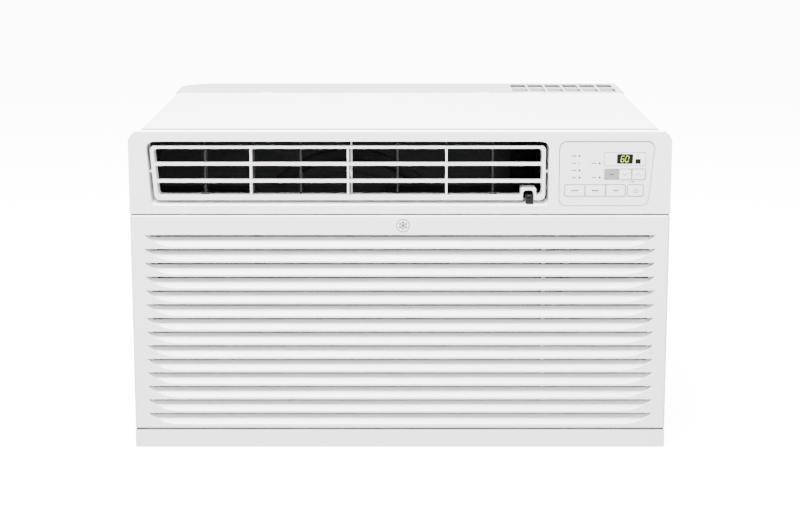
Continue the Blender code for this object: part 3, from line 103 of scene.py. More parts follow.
def surface(name, colour, roughness, metallic=0.0, grain=900.0, depth=0.00004, drift=0.06,
            coat=0.0, shade_low=0.985, pattern="NOISE"):
    """A material with a fine grain in its bump, and a roughness and shade that drift slowly."""
    material = bpy.data.materials.new(name)
    material.use_nodes = True
    nodes = material.node_tree.nodes
    links = material.node_tree.links
    shader = nodes["Principled BSDF"]
    shader.inputs["Metallic"].default_value = metallic
    shader.inputs["Coat Weight"].default_value = coat
    shader.inputs["Coat Roughness"].default_value = 0.08
    place = nodes.new("ShaderNodeTexCoord")
    fine = nodes.new("ShaderNodeTexNoise")
    fine.inputs["Scale"].default_value = grain
    fine.inputs["Detail"].default_value = 3.0
    bump = nodes.new("ShaderNodeBump")
    bump.inputs["Strength"].default_value = 0.35
    bump.inputs["Distance"].default_value = depth
    if pattern == "SPANGLE":
        slow = nodes.new("ShaderNodeTexVoronoi")
        slow.inputs["Scale"].default_value = 120.0
        slow_output = slow.outputs["Color"]
    else:
        slow = nodes.new("ShaderNodeTexNoise")
        slow.inputs["Scale"].default_value = 9.0
        slow.inputs["Detail"].default_value = 4.0
        slow_output = slow.outputs["Fac"]
    rough = nodes.new("ShaderNodeMapRange")
    rough.inputs["To Min"].default_value = max(roughness - drift, 0.02)
    rough.inputs["To Max"].default_value = roughness + drift
    shade = nodes.new("ShaderNodeMix")
    shade.data_type = "RGBA"
    shade.inputs["A"].default_value = (*[c * shade_low for c in colour], 1.0)
    shade.inputs["B"].default_value = (*colour, 1.0)
    links.new(place.outputs["Object"], fine.inputs["Vector"])
    links.new(place.outputs["Object"], slow.inputs["Vector"])
    links.new(fine.outputs["Fac"], bump.inputs["Height"])
    links.new(bump.outputs["Normal"], shader.inputs["Normal"])
    links.new(slow_output, rough.inputs["Value"])
    links.new(rough.outputs["Result"], shader.inputs["Roughness"])
    links.new(slow_output, shade.inputs["Factor"])
    links.new(shade.outputs["Result"], shader.inputs["Base Color"])
    return material


def select_only(*objects):
    if bpy.context.object and bpy.context.object.mode != "OBJECT":
        bpy.ops.object.mode_set(mode="OBJECT")
    bpy.ops.object.select_all(action="DESELECT")
    for item in objects:
        item.select_set(True)
    bpy.context.view_layer.objects.active = objects[-1]


def finish_edges(piece, width, segments=2, angle=30.0):
    """Rounds a piece's sharp edges and shades its round ones smooth."""
    if not width:
        return
    select_only(piece)
    bevel = piece.modifiers.new("edges", "BEVEL")
    bevel.width = width
    bevel.segments = segments
    bevel.limit_method = "ANGLE"
    bevel.angle_limit = math.radians(angle)
    bevel.use_clamp_overlap = True
    bevel.miter_outer = "MITER_ARC"
    bpy.ops.object.modifier_apply(modifier="edges")
    bpy.ops.object.shade_smooth_by_angle(angle=math.radians(35))
    flatten = piece.modifiers.new("flatten", "WEIGHTED_NORMAL")
    flatten.keep_sharp = True
    flatten.weight = 100
    bpy.ops.object.modifier_apply(modifier="flatten")


def softened(node, name, width, segments=2, whole=True):
    """A piece moulded to a node's shape, with its flat faces made whole and its edges rounded."""
    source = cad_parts[node]
    piece = bpy.data.objects.new(name, source.data.copy())
    bpy.context.scene.collection.objects.link(piece)
    piece.data.materials.clear()
    select_only(piece)
    bpy.ops.object.mode_set(mode="EDIT")
    bpy.ops.mesh.select_all(action="SELECT")
    bpy.ops.mesh.remove_doubles(threshold=0.000002)
    if whole:
        bpy.ops.mesh.dissolve_limited(angle_limit=math.radians(0.5))
    bpy.ops.object.mode_set(mode="OBJECT")
    finish_edges(piece, width, segments)
    return piece


def fit(piece, material, body, slot, *nodes):
    """Gives a piece its material, its body and the nodes it stands for; its slot is not used."""
    piece.data.materials.clear()
    piece.data.materials.append(material)
    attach(piece, body)
    if nodes:
        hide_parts(*nodes)
    return piece


def boolean(piece, tool, operation="DIFFERENCE"):
    """Cuts or joins one mesh with another and removes the tool."""
    select_only(piece)
    change = piece.modifiers.new("cut", "BOOLEAN")
    change.object = tool
    change.operation = operation
    change.solver = "EXACT"
    bpy.ops.object.modifier_apply(modifier="cut")
    bpy.data.objects.remove(tool, do_unlink=True)


def block(x0, x1, y0, y1, z0, z1):
    """A block between two values along each axis."""
    if bpy.context.object and bpy.context.object.mode != "OBJECT":
        bpy.ops.object.mode_set(mode="OBJECT")
    bpy.ops.object.select_all(action="DESELECT")
    bpy.ops.mesh.primitive_cube_add(
        size=1.0, location=((x0 + x1) / 2, (y0 + y1) / 2, (z0 + z1) / 2))
    piece = bpy.context.object
    piece.scale = (x1 - x0, y1 - y0, z1 - z0)
    bpy.ops.object.transform_apply(location=True, rotation=True, scale=True)
    return piece


white_moulding = surface("white_moulding", (0.86, 0.86, 0.85), 0.42)
top_step = 0.0010
past_face = 0.01
front_panel = softened("front_panel", "front_panel_moulding", 0.0, 1, whole=False)
boolean(front_panel, block(-half - past_face, half + past_face, front - past_face,
                           panel_high[1] + 0.0002,
                           panel_high[2] - top_step, panel_high[2] + past_face))
finish_edges(front_panel, 0.0007, 3)
fit(front_panel, white_moulding, "chassis", "white_plastic", "front_panel")

# ---- inlet grille ----
# One white moulding across the whole front. Each air slot is a scoop that slopes in from the face
# to a narrow slit under the strip above it, and runs out at both ends in a long pointed curve.

grille_low, grille_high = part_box("inlet_grille")
slot_count = 14
slot_pitch = 0.0160
slot_top = grille_high[2] - 0.0235
scoop_height = 0.0137
scoop_depth = 0.0108
scoop_end = half - 0.0157
scoop_taper = 0.036
slit_height = 0.0038
slit_inset = 0.006
slit_start = scoop_depth * 0.55
hinge_radius = 0.0030
edge_near = 0.001


def joined(pieces, name=None):
    """One object from several."""
    select_only(*pieces)
    if len(pieces) > 1:
        bpy.ops.object.join()
    piece = bpy.context.object
    if name:
        piece.name = name
    return piece


def scoop_cutter(level):
    """The hollow of one air slot, with a straight top, a curved run-out and a sloped back."""
    steps = 10
    low = level - scoop_height
    run_out = [(math.cos(math.pi / 2 * i / steps), math.sin(math.pi / 2 * i / steps) ** 1.6)
               for i in range(steps + 1)]
    straight = scoop_end - scoop_taper
    right = [(straight + scoop_taper * u, level - scoop_height * v) for u, v in run_out]
    left = [(-x, z) for x, z in reversed(right)]
    corners = right + left
    bpy.ops.mesh.primitive_cylinder_add(vertices=len(corners), end_fill_type="NGON")
    piece = bpy.context.object
    for i, (x, z) in enumerate(corners):
        depth = scoop_depth * (z - low) / scoop_height
        piece.data.vertices[2 * i].co = (x, grille_low[1] - 0.002, z)
        piece.data.vertices[2 * i + 1].co = (x, grille_low[1] - 0.0001 + depth, z)
    bpy.ops.object.mode_set(mode="EDIT")
    bpy.ops.mesh.select_all(action="SELECT")
    bpy.ops.mesh.normals_make_consistent(inside=False)
    bpy.ops.object.mode_set(mode="OBJECT")
    return piece


grille = block(grille_low[0], grille_high[0], grille_low[1], grille_high[1],
               grille_low[2], grille_high[2])
grille.name = "inlet_grille_moulding"
select_only(grille)
for edge in grille.data.edges:
    ends = [grille.data.vertices[i].co for i in edge.vertices]
    edge.select = all(end.y < grille_low[1] + edge_near and end.z < grille_low[2] + edge_near
                      for end in ends)
bpy.ops.object.mode_set(mode="EDIT")
bpy.ops.mesh.select_mode(type="EDGE")
bpy.ops.mesh.bevel(offset=hinge_radius, segments=6)
bpy.ops.object.mode_set(mode="OBJECT")
boolean(grille, joined([scoop_cutter(slot_top - i * slot_pitch) for i in range(slot_count)]))
slits = [block(-scoop_end + slit_inset, scoop_end - slit_inset,
               grille_low[1] + slit_start, grille_high[1] + 0.005,
               slot_top - i * slot_pitch - slit_height, slot_top - i * slot_pitch - 0.0004)
         for i in range(slot_count)]
boolean(grille, joined(slits))
finish_edges(grille, 0.0004, 2)
fit(grille, white_moulding, "grille", "white_plastic", "inlet_grille")

# ---- grille emblem ----
# A small snow crystal printed in grey on the band above the first air slot.
# It has six arms, and each arm has a pair of short side arms.

emblem_place = (0.0034, grille_low[1], 0.2595)
emblem_radius = 0.0053
emblem_bar = 0.0010
emblem_rim = 0.0072
side_arm_place = 0.55
side_arm_reach = 0.38
side_arm_angle = math.radians(55)
emblem_grey = surface("emblem_grey", (0.06, 0.062, 0.065), 0.45)


def spoke(place, angle, reach, width, start=0.0, proud=0.00003, sunk=0.0003):
    """A thin bar on a front face that runs out from a point at an angle."""
    piece = block(-width / 2, width / 2, -proud, sunk, start, reach)
    turn = Matrix.Rotation(angle, 4, "Y")
    piece.data.transform(Matrix.Translation(place) @ turn)
    return piece


arms = []
for i in range(6):
    angle = math.tau * i / 6
    arms.append(spoke(emblem_place, angle, emblem_radius, emblem_bar))
    along = Vector((0, 0, emblem_radius * side_arm_place))
    mid = Vector(emblem_place) + Matrix.Rotation(angle, 3, "Y") @ along
    for side in (-1, 1):
        arms.append(spoke(mid, angle + side * side_arm_angle, emblem_radius * side_arm_reach,
                          emblem_bar * 0.8))
rim_points = [(emblem_place[0] + emblem_rim * math.sin(math.tau * i / 32),
               emblem_place[2] + emblem_rim * math.cos(math.tau * i / 32)) for i in range(33)]
for (x0, z0), (x1, z1) in zip(rim_points, rim_points[1:]):
    arms.append(spoke((x0, front, z0), math.atan2(x1 - x0, z1 - z0),
                      math.hypot(x1 - x0, z1 - z0) + emblem_bar / 2, emblem_bar * 0.9,
                      -emblem_bar / 2))
emblem = joined(arms, "grille_emblem")
fit(emblem, emblem_grey, "grille", "grey_plastic")

# ---- seam shadow strips ----
# Thin black strips are painted shade for the shadow in the joints above and below the grille,
# and in the joint between the front panel and the steel cover behind it. Only their edges show,
# as fine dark lines.

# Near black: painted shade for the shadow in the joints, not the colour of a real part.
seam_shade_black = surface("seam_shade_black", (0.012, 0.012, 0.013), 0.9, grain=700.0, depth=0.0001)
seam_shade_black.node_tree.nodes["Principled BSDF"].inputs["Specular IOR Level"].default_value = 0.1
cover_low, cover_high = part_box("cabinet_cover")
strip_end = half - 0.001
strip_back = front + 0.0050
seam_shadow_strips = [
    block(-strip_end, strip_end, front + 0.00025, strip_back,
          grille_high[2] - 0.0002, grille_high[2] + 0.0010),
    block(-strip_end, strip_end, front + 0.0006, strip_back,
          grille_low[2] - 0.0010, grille_low[2] + 0.0001),
    block(-cover_high[0] + 0.004, cover_high[0] - 0.004, cover_low[1] - 0.0002,
          cover_low[1] + 0.0014, cover_high[2] - 0.0008, panel_high[2] - 0.00005)]
for side in (-1, 1):
    edge = side * (cover_high[0] + 0.0002)
    seam_shadow_strips.append(block(min(edge, edge - side * 0.001), max(edge, edge - side * 0.001),
                             cover_low[1] - 0.0003, cover_low[1] + 0.0012,
                             cover_low[2] + 0.004, cover_high[2] - 0.004))
seam_shadow_strip = joined(seam_shadow_strips, "seam_shadow_strips")
finish_edges(seam_shadow_strip, 0.0001, 1)
fit(seam_shadow_strip, seam_shade_black, "chassis", "black_rubber")

# ---- louver frame and its blades ----
# A white moulded frame with two fixed blades across it and three upright ribs. It tilts as a
# whole on two end pivots and on the fixed rib in the middle of the opening.

louver_white = surface("louver_white", (0.79, 0.79, 0.78), 0.4)
frame_low, frame_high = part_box("louver_frame")
louver_frame = softened("louver_frame", "louver_frame_moulding", 0.0, 1, whole=False)
top_slope = block(frame_low[0] + 0.006, frame_high[0] - 0.006, frame_low[1] - 0.002,
                  frame_high[1] + 0.002, frame_high[2], frame_high[2] + 0.003)
for vert in top_slope.data.vertices:
    if vert.co.z < frame_high[2] + 0.001:
        vert.co.z -= 0.0007 if vert.co.y < frame_low[1] else 0.0031
boolean(louver_frame, top_slope)
finish_edges(louver_frame, 0.0004, 2)
fit(louver_frame, louver_white, "louver", "white_plastic", "louver_frame")

# ---- vertical vanes and link bars ----
# Six dark grey vanes turn on pins in the louver frame. A thin bar ties each group of three, and
# the outer vane of each group has a tab for the finger.

vane_grey = surface("vane_grey", (0.045, 0.045, 0.048), 0.75)
vane_thickness = 0.0016
barrel_height = 0.0032
barrel_reach = 0.0035
vane_gap = 0.0010
for number in range(1, 7):
    node = f"vertical_vane_{number}"
    vane_low, vane_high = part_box(node)
    x = (vane_low[0] + vane_high[0]) / 2
    pin_y = frame_high[1] - 0.0040
    vane = softened(node, f"vane_{number}_moulding", 0.0, 1)
    for side in (-1, 1):
        inner = x + side * vane_thickness / 2
        outer = x + side * barrel_reach
        slab = block(min(inner, outer), max(inner, outer),
                     pin_y - barrel_reach, pin_y + barrel_reach,
                     vane_low[2] + vane_gap + barrel_height,
                     vane_high[2] - vane_gap - barrel_height)
        boolean(vane, slab)
    finish_edges(vane, 0.0002, 2)
    fit(vane, vane_grey, f"vane_{number}", "dark_plastic", node)
for side in ("left", "right"):
    bar = softened(f"link_bar_{side}", f"link_bar_{side}_moulding", 0.0002, 2)
    fit(bar, vane_grey, f"link_{side}", "dark_plastic", f"link_bar_{side}")

# ---- discharge duct ----
# The black duct behind the louvers. The round rim of the blower housing is pressed into its rear
# wall as two raised arcs.

duct_low, duct_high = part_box("discharge_duct")
duct_wall = 0.0020
rim_x = -0.060
rim_z = 0.205
duct_black_and_inner_shade = surface("duct_black_and_inner_shade", (0.024, 0.024, 0.026), 0.65, grain=500.0, depth=0.0001)
duct = softened("discharge_duct", "discharge_duct_moulding", 0.0005, 2, whole=False)
fit(duct, duct_black_and_inner_shade, "chassis", "dark_plastic", "discharge_duct")
rim_black = surface("rim_black", (0.012, 0.012, 0.013), 0.6, grain=500.0)
for name, radius, width in (("duct_rim_outer", 0.118, 0.0075), ("duct_rim_inner", 0.096, 0.0011)):
    select_only(camera)
    bpy.ops.mesh.primitive_torus_add(
        major_radius=radius, minor_radius=width, major_segments=96, minor_segments=14,
        location=(0.0, 0.0, 0.0), rotation=(math.pi / 2, 0.0, 0.0))
    rim = bpy.context.object
    rim.name = name
    bpy.ops.object.transform_apply(location=True, rotation=True, scale=True)
    rim.scale = (1.0, min(1.0, 0.0020 / width), 1.0)
    rim.location = (rim_x, duct_high[1] - duct_wall, rim_z)
    bpy.ops.object.transform_apply(location=True, rotation=True, scale=True)
    boolean(rim, block(rim_x - 0.2, rim_x + 0.2, duct_high[1] - 0.03, duct_high[1] - 0.0004,
                       duct_low[2] + duct_wall + 0.0012, duct_high[2]), "INTERSECT")
    bpy.ops.object.shade_smooth_by_angle(angle=math.radians(40))
    fit(rim, rim_black if width > 0.002 else duct_black_and_inner_shade, "chassis", "dark_plastic")

# ---- fresh-air vent control ----
# A black lever tab on a rod that runs back through the duct to a small flap.

vent_black = surface("vent_black", (0.005, 0.005, 0.006), 0.7)
for glossy in (vane_grey, vent_black, duct_black_and_inner_shade, rim_black):
    glossy.node_tree.nodes["Principled BSDF"].inputs["Specular IOR Level"].default_value = 0.2
for node, body in (("vent_rod", "vent_rod_body"), ("vent_lever", "vent_lever_body"),
                   ("vent_door", "vent_door_body")):
    piece = softened(node, node + "_moulding", 0.0002, 2)
    slot = "grey_plastic" if node == "vent_door" else "dark_plastic"
    fit(piece, vent_black, body, slot, node)

# ---- control overlay and windows ----
# A glossy pale plate let into the front panel, with a smoked display window and a receiver
# window. The display shows two slanted yellow-green figures on the smoked glass.

plate_low, plate_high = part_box("control_overlay")
overlay_gloss = surface("overlay_gloss", (0.84, 0.84, 0.845), 0.16, grain=300.0, depth=0.00001,
                        drift=0.03, coat=0.6)
overlay = softened("control_overlay", "control_overlay_plate", 0.0002, 2, whole=False)
fit(overlay, overlay_gloss, "chassis", "overlay_plastic", "control_overlay")

smoked = surface("smoked_window", (0.004, 0.004, 0.005), 0.4, grain=300.0, depth=0.00001,
                 drift=0.03)
smoked.node_tree.nodes["Principled BSDF"].inputs["Specular IOR Level"].default_value = 0.15
for node in ("display_window", "receiver_window"):
    window = softened(node, node + "_glass", 0.0002, 2)
    fit(window, smoked, "chassis", "dark_window", node)


def glowing(name, colour, strength):
    """A lit surface whose glow varies a little from place to place."""
    material = surface(name, colour, 0.3)
    nodes = material.node_tree.nodes
    shader = nodes["Principled BSDF"]
    shader.inputs["Emission Color"].default_value = (*colour, 1.0)
    shader.inputs["Emission Strength"].default_value = strength
    return material


figure_green = glowing("figure_green", (0.45, 0.62, 0.03), 0.5)
window_low, window_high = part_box("display_window")
figure_height = 0.0066
figure_width = 0.0034
figure_bar = 0.0006
figure_gap = 0.0002
figure_middle = ((window_low[0] + window_high[0]) / 2, window_low[1],
                 (window_low[2] + window_high[2]) / 2)
segments_lit = {"6": "afgcde", "0": "abcdef"}
segment_bars = {
    "a": (0.0, 1.0, 1.0, 1.0), "b": (1.0, 0.5, 1.0, 1.0), "c": (1.0, 0.0, 1.0, 0.5),
    "d": (0.0, 0.0, 1.0, 0.0), "e": (0.0, 0.0, 0.0, 0.5), "f": (0.0, 0.5, 0.0, 1.0),
    "g": (0.0, 0.5, 1.0, 0.5)}
bars = []
for figure, start in (("6", -figure_width - 0.0008), ("0", 0.0008)):
    for segment in segments_lit[figure]:
        u0, v0, u1, v1 = segment_bars[segment]
        flat = 0.5 * figure_bar
        bars.append(block(start + u0 * figure_width - flat * (u0 == u1) + figure_gap * (u0 != u1),
                          start + u1 * figure_width + flat * (u0 == u1) - figure_gap * (u0 != u1),
                          -0.00005, 0.0001,
                          (v0 - 0.5) * figure_height - flat * (v0 == v1) + figure_gap * (v0 != v1),
                          (v1 - 0.5) * figure_height + flat * (v0 == v1) - figure_gap * (v0 != v1)))
figures = joined(bars, "display_figures")
lean = Matrix.Identity(4)
lean[0][2] = math.tan(math.radians(10))
figures.data.transform(Matrix.Translation(figure_middle) @ lean)
fit(figures, figure_green, "chassis", "dark_window")

# ---- keys ----
# Seven caps that stand a hair proud of the plate. The set key is grey; the rest are the plate's
# own colour. Each has its mark printed on it, and the mark goes down with the key.

key_grey = surface("key_grey", (0.24, 0.24, 0.245), 0.35, grain=300.0, depth=0.00001, coat=0.4)
print_grey = surface("print_grey", (0.035, 0.036, 0.038), 0.6, grain=1500.0, depth=0.00001)
print_proud = 0.00005
print_sunk = 0.00015


def stroke(start, end, face, width):
    """A straight printed line between two points of the front."""
    (x0, z0), (x1, z1) = start, end
    angle = math.atan2(x1 - x0, z1 - z0)
    reach = math.hypot(x1 - x0, z1 - z0)
    return spoke((x0, face, z0), angle, reach + width / 2, width, -width / 2,
                 print_proud, print_sunk)


def dashes(x, z, face, widths, height):
    """A row of short dashes, as small print looks from where it can't be read."""
    pieces = []
    gap = 0.0003
    left = x - (sum(widths) + gap * (len(widths) - 1)) / 2
    for width in widths:
        pieces.append(block(left, left + width, face - print_proud, face + print_sunk,
                            z - height / 2, z + height / 2))
        left += width + gap
    return pieces


def printed_ring(x, z, face, radius, width, start=0.0, end=360.0, steps=28):
    """Part of a printed circle, from start to end in degrees clockwise from the top."""
    points = [(x + radius * math.sin(math.radians(start + (end - start) * i / steps)),
               z + radius * math.cos(math.radians(start + (end - start) * i / steps)))
              for i in range(steps + 1)]
    return [stroke(a, b, face, width) for a, b in zip(points, points[1:])]


line = 0.0006
keys = ("key_set", "key_down", "key_up", "key_timer", "key_mode", "key_fan", "key_power")
for name in keys:
    key = softened(name, name + "_cap", 0.0002, 2)
    slot = "grey_key" if name == "key_set" else "overlay_plastic"
    fit(key, key_grey if name == "key_set" else overlay_gloss, name + "_body", slot, name)
    key_low, key_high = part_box(name)
    x = (key_low[0] + key_high[0]) / 2
    z = (key_low[2] + key_high[2]) / 2
    face = key_low[1]
    if name == "key_down":
        marks = [stroke((x - 0.0024, z + 0.0012), (x, z - 0.0012), face, line),
                 stroke((x, z - 0.0012), (x + 0.0024, z + 0.0012), face, line)]
    elif name == "key_up":
        marks = [stroke((x - 0.0024, z - 0.0012), (x, z + 0.0012), face, line),
                 stroke((x, z + 0.0012), (x + 0.0024, z - 0.0012), face, line)]
    elif name == "key_power":
        marks = printed_ring(x, z - 0.0002, face, 0.0021, line, 35, 325)
        marks.append(stroke((x, z + 0.0004), (x, z + 0.0026), face, line))
    elif name == "key_set":
        marks = dashes(x, z, face, (0.0014, 0.0016, 0.0012), 0.0013)
    elif name == "key_timer":
        marks = dashes(x, z, face, (0.0016, 0.0006, 0.0018, 0.0014, 0.0016), 0.0016)
    elif name == "key_mode":
        marks = dashes(x, z, face, (0.0020, 0.0018, 0.0016, 0.0014), 0.0016)
    else:
        marks = dashes(x, z, face, (0.0014, 0.0018, 0.0018), 0.0016)
    mark = joined(marks, name + "_mark")
    fit(mark, print_grey, name + "_body", "grey_key")

# ---- printed lines and lamps ----
# Fine grey outlines run round the display and round each row of keys. Small lamps stand in two
# columns beside short printed labels, and one of them is lit orange.

cell_line = 0.0005
plate_face = plate_low[1]


def outline(x0, x1, z0, z1, radius, slant=0.0):
    """A printed outline with round corners; its right side can lean."""
    points = []
    steps = 4
    for cx, cz, begin in ((x1 - radius, z1 - radius, 0), (x1 - radius, z0 + radius, 90),
                          (x0 + radius, z0 + radius, 180), (x0 + radius, z1 - radius, 270)):
        for i in range(steps + 1):
            angle = math.radians(begin + 90 * i / steps)
            points.append((cx + radius * math.sin(angle), cz + radius * math.cos(angle)))
    if slant:
        points = [(x - slant * (z1 - z) / (z1 - z0) * (x - x0) / (x1 - x0), z) for x, z in points]
    return [stroke(a, b, plate_face, cell_line) for a, b in zip(points, points[1:] + points[:1])]


origin_x = plate_low[0]
origin_z = plate_high[2]
rows = (
    (0.0504, 0.0970, -0.0278, -0.0126),
    (0.0507, 0.0973, -0.0438, -0.0313),
    (0.0062, 0.0752, -0.0627, -0.0491),
    (0.0769, 0.0954, -0.0627, -0.0491))
printed = []
for x0, x1, z0, z1 in rows:
    printed += outline(origin_x + x0, origin_x + x1, origin_z + z0, origin_z + z1, 0.0022)
printed += outline(plate_low[0] + 0.0003, plate_high[0] - 0.0003, plate_low[2] + 0.0003,
                   plate_high[2] - 0.0003, 0.0083, slant=0.0065)
for x, row in ((0.0670, 1), (0.0815, 1), (0.0294, 2), (0.0525, 2)):
    printed.append(stroke((origin_x + x, origin_z + rows[row][2]),
                          (origin_x + x, origin_z + rows[row][3]), plate_face, cell_line))
lamps = ((0.0226, -0.0167), (0.0227, -0.0249), (0.0229, -0.0331), (0.0230, -0.0412),
         (0.0453, -0.0249), (0.0456, -0.0412))
for i, (x, z) in enumerate(lamps):
    widths = ((0.0018, 0.0012, 0.0020), (0.0014, 0.0016, 0.0010), (0.0010, 0.0020, 0.0016),
              (0.0016, 0.0016))[i % 4]
    printed += dashes(origin_x + x - 0.0062, origin_z + z, plate_face, widths, 0.0012)
fine_line = 0.0003
bracket_z = origin_z - 0.0460
for x0, x1 in ((0.0680, 0.0745), (0.0890, 0.0955)):
    printed.append(stroke((origin_x + x0, bracket_z), (origin_x + x1, bracket_z),
                          plate_face, fine_line))
printed += dashes(origin_x + 0.0818, bracket_z, plate_face,
                  (0.0014, 0.0012, 0.0014, 0.0012), 0.0011)
printed += printed_ring(origin_x + 0.0884, origin_z - 0.0170, plate_face, 0.0010,
                        fine_line, 0, 360, 12)
print_work = joined(printed, "overlay_print")
fit(print_work, print_grey, "chassis", "overlay_plastic")

lamp_dark = surface("lamp_dark", (0.012, 0.012, 0.013), 0.5, grain=300.0, depth=0.00001)
lamp_orange = glowing("lamp_orange", (0.85, 0.20, 0.06), 0.5)
for i, (x, z) in enumerate(lamps):
    select_only(camera)
    bpy.ops.mesh.primitive_cylinder_add(
        vertices=20, radius=0.00115, depth=0.0008, rotation=(math.pi / 2, 0.0, 0.0),
        location=(origin_x + x, plate_face + 0.00025, origin_z + z))
    lamp = bpy.context.object
    lamp.name = f"lamp_{i + 1}"
    bpy.ops.object.transform_apply(location=True, rotation=True, scale=True)
    finish_edges(lamp, 0.0003, 2)
    fit(lamp, lamp_orange if i == 1 else lamp_dark, "chassis", "dark_window")

# ---- case ----
# The cover is folded from sheet steel and enamelled white, and has small pressed tabs at its rear
# edge. The moulded shroud behind it is pale grey and carries the outdoor openings.

case_enamel = surface("case_enamel", (0.84, 0.84, 0.825), 0.32, grain=260.0, depth=0.00006)
cover = softened("cabinet_cover", "cabinet_cover_shell", 0.0004, 2, whole=False)
fit(cover, case_enamel, "chassis", "painted_steel", "cabinet_cover")
tabs = []
for x, width in ((-0.176, 0.014), (0.112, 0.014), (0.172, 0.018)):
    tabs.append(block(x - width / 2, x + width / 2, cover_high[1] - 0.0075, cover_high[1] - 0.0010,
                      cover_high[2] - 0.0004, cover_high[2] + 0.0007))
for x in (-0.176, 0.112):
    select_only(camera)
    bpy.ops.mesh.primitive_cylinder_add(
        vertices=18, radius=0.0018, depth=0.0010,
        location=(x, cover_high[1] - 0.0042, cover_high[2] + 0.0004))
    bpy.ops.object.transform_apply(location=True, rotation=True, scale=True)
    tabs.append(bpy.context.object)
cover_tabs = joined(tabs, "cover_tabs")
finish_edges(cover_tabs, 0.0003, 2)
fit(cover_tabs, case_enamel, "chassis", "painted_steel")

shroud_grey = surface("shroud_grey", (0.38, 0.38, 0.378), 0.45)
lattice_shade_grey = surface("lattice_shade_grey", (0.17, 0.17, 0.172), 0.6)
shroud_low, shroud_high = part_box("rear_shroud")
shroud = softened("rear_shroud", "rear_shroud_shell", 0.0004, 2, whole=False)
fit(shroud, shroud_grey, "chassis", "grey_plastic", "rear_shroud")

# A flat dark grey sheet lies just under the shroud's outdoor openings. Its dark grey is painted
# shade for the dim inside seen through the openings.
lattice_start = 0.1520
sheet_inset = 0.0060
lattice_shade_sheet = block(lattice_start, cover_high[0] - sheet_inset,
                      shroud_low[1] + sheet_inset, shroud_high[1] - sheet_inset,
                      shroud_high[2] - 0.0052, shroud_high[2] - 0.0040)
lattice_shade_sheet.name = "lattice_shade_sheet"
finish_edges(lattice_shade_sheet, 0.0003, 2)
fit(lattice_shade_sheet, lattice_shade_grey, "chassis", "galvanised_steel")

# ---- side beads ----
# Two shallow stiffening beads are pressed outwards along each side of the cover. They stop short
# of its front and rear edges, and their own edges are rounded like a pressing.

bead_proud = 0.0012
bead_sunk = 0.0006
bead_end = 0.045
bead_half = 0.006
for side, name in ((-1, "left"), (1, "right")):
    beads = []
    for z in (0.115, 0.255):
        x = side * cover_high[0]
        inner = x - side * bead_sunk
        outer = x + side * bead_proud
        beads.append(block(min(inner, outer), max(inner, outer), cover_low[1] + bead_end,
                           cover_high[1] - bead_end, z - bead_half, z + bead_half))
    bead = joined(beads, f"cover_beads_{name}")
    finish_edges(bead, 0.0011, 4)
    fit(bead, case_enamel, "chassis", "painted_steel")

# ---- finned coils ----
# Each coil is a pack of thin aluminium fins on copper tubes. The fins stand a little proud of the
# pack's own block and are close together, so each coil reads as fine upright lines.

fin_aluminium = surface("fin_aluminium", (0.52, 0.54, 0.56), 0.5, metallic=0.35, grain=400.0,
                        drift=0.1, shade_low=0.9)
fin_shadow = surface("fin_shadow", (0.05, 0.052, 0.055), 0.7, metallic=0.2, grain=400.0,
                     drift=0.1, shade_low=0.9)
fin_pitch = 0.0021
fin_thickness = 0.0004
fin_proud = 0.0012
for node in ("condenser_coil", "evaporator_coil"):
    coil_low, coil_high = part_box(node)
    plate_name = "condenser_plate_right" if node == "condenser_coil" else "evaporator_plate"
    right_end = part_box(plate_name)[0][0] - 0.0006
    left_end = coil_low[0] + 0.0010
    if node == "condenser_coil":
        left_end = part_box("condenser_plate_left")[1][0] + 0.0006
    fin = block(left_end, left_end + fin_thickness, coil_low[1] - fin_proud,
                coil_high[1] + fin_proud,
                coil_low[2] + 0.0005, coil_high[2] - 0.0005)
    fin.name = node.replace("_coil", "_fins")
    pack = fin.modifiers.new("pack", "ARRAY")
    pack.use_relative_offset = False
    pack.use_constant_offset = True
    pack.constant_offset_displace = (fin_pitch, 0.0, 0.0)
    pack.count = int((right_end - left_end - fin_thickness) / fin_pitch)
    select_only(fin)
    bpy.ops.object.modifier_apply(modifier="pack")
    fit(fin, fin_aluminium, "chassis", "fin_aluminium")

# ---- air filter ----
# A black frame with four panes of fine plastic net. The net is a grid of thin threads laid on
# the frame's membrane.

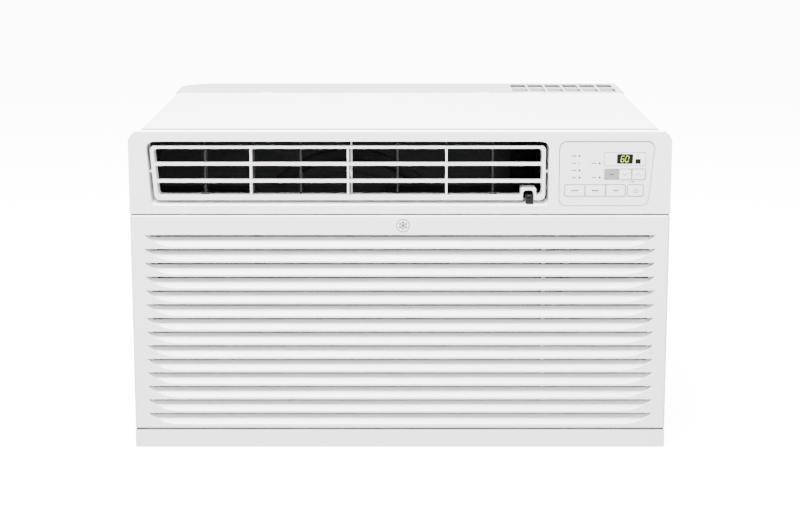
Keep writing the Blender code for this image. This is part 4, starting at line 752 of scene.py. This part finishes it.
filter_black = surface("filter_black", (0.035, 0.035, 0.038), 0.6)
filter_low, filter_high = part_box("air_filter")
net_rim = 0.010
thread = 0.0008
thread_pitch = 0.0054
net = []
for count, along in ((int((filter_high[0] - filter_low[0] - 2 * net_rim) / thread_pitch), "X"),
                     (int((filter_high[2] - filter_low[2] - 2 * net_rim) / thread_pitch), "Z")):
    y0 = filter_low[1] + 0.0015
    if along == "X":
        first = block(filter_low[0] + net_rim + 0.001, filter_low[0] + net_rim + 0.001 + thread,
                      y0, y0 + 0.0007, filter_low[2] + net_rim, filter_high[2] - net_rim)
        step = (thread_pitch, 0.0, 0.0)
    else:
        first = block(filter_low[0] + net_rim, filter_high[0] - net_rim, y0 + 0.0001, y0 + 0.0008,
                      filter_low[2] + net_rim + 0.001, filter_low[2] + net_rim + 0.001 + thread)
        step = (0.0, 0.0, thread_pitch)
    grid = first.modifiers.new("grid", "ARRAY")
    grid.use_relative_offset = False
    grid.use_constant_offset = True
    grid.constant_offset_displace = step
    grid.count = count
    select_only(first)
    bpy.ops.object.modifier_apply(modifier="grid")
    net.append(first)
filter_net = joined(net, "air_filter_net")
net_grey = surface("net_grey", (0.16, 0.16, 0.165), 0.6)
fit(filter_net, net_grey, "filter", "dark_plastic")

# ---- inner parts ----
# Everything behind the front and under the cover keeps its own shape and gets its own finish:
# galvanised sheet, copper pipe, black enamel, rubber, foam-like plastic and circuit board. The
# scroll housing is given the duct's near-black as painted shade for the deep inside of the duct,
# and the coil blocks behind the fins are painted dark as the shade between the fins.

galvanised = surface("galvanised", (0.60, 0.61, 0.62), 0.38, metallic=0.9, drift=0.12,
                     shade_low=0.78, pattern="SPANGLE")
copper_pipe = surface("copper_pipe", (0.72, 0.36, 0.20), 0.28, metallic=1.0, drift=0.14,
                      shade_low=0.7, grain=200.0)
black_enamel = surface("black_enamel", (0.02, 0.02, 0.022), 0.38, grain=220.0, depth=0.00015)
black_rubber = surface("black_rubber", (0.018, 0.018, 0.018), 0.85, grain=700.0, depth=0.0001)
foam_white = surface("foam_white", (0.84, 0.84, 0.82), 0.75, grain=320.0, depth=0.0003)
board_green = surface("board_green", (0.008, 0.030, 0.016), 0.5, grain=160.0, depth=0.0001,
                      shade_low=0.8)
inner_finishes = {
    galvanised: ("base_pan", "motor_bracket", "fan_shroud", "condenser_plate_left",
                 "condenser_plate_right", "fan_shaft", "cover_screw_left", "cover_screw_right"),
    copper_pipe: ("discharge_pipe", "suction_pipe", "capillary_tube"),
    black_enamel: ("compressor", "accumulator", "terminal_cover", "fan_motor", "control_box",
                   "evaporator_plate", "capacitor"),
    black_rubber: ("compressor_foot_1", "compressor_foot_2", "compressor_foot_3",
                   "power_cord_bushing"),
    foam_white: ("blower_orifice", "drain_pan"),
    # The scroll housing's near-black is painted shade for the deep inside of the duct.
    duct_black_and_inner_shade: ("scroll_housing", "partition"),
    board_green: ("control_board", "display_board"),
    filter_black: ("air_filter", "blower_wheel", "condenser_fan"),
    fin_shadow: ("condenser_coil", "evaporator_coil"),
}
for finish, nodes in inner_finishes.items():
    for node in nodes:
        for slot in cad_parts[node].material_slots:
            slot.material = finish
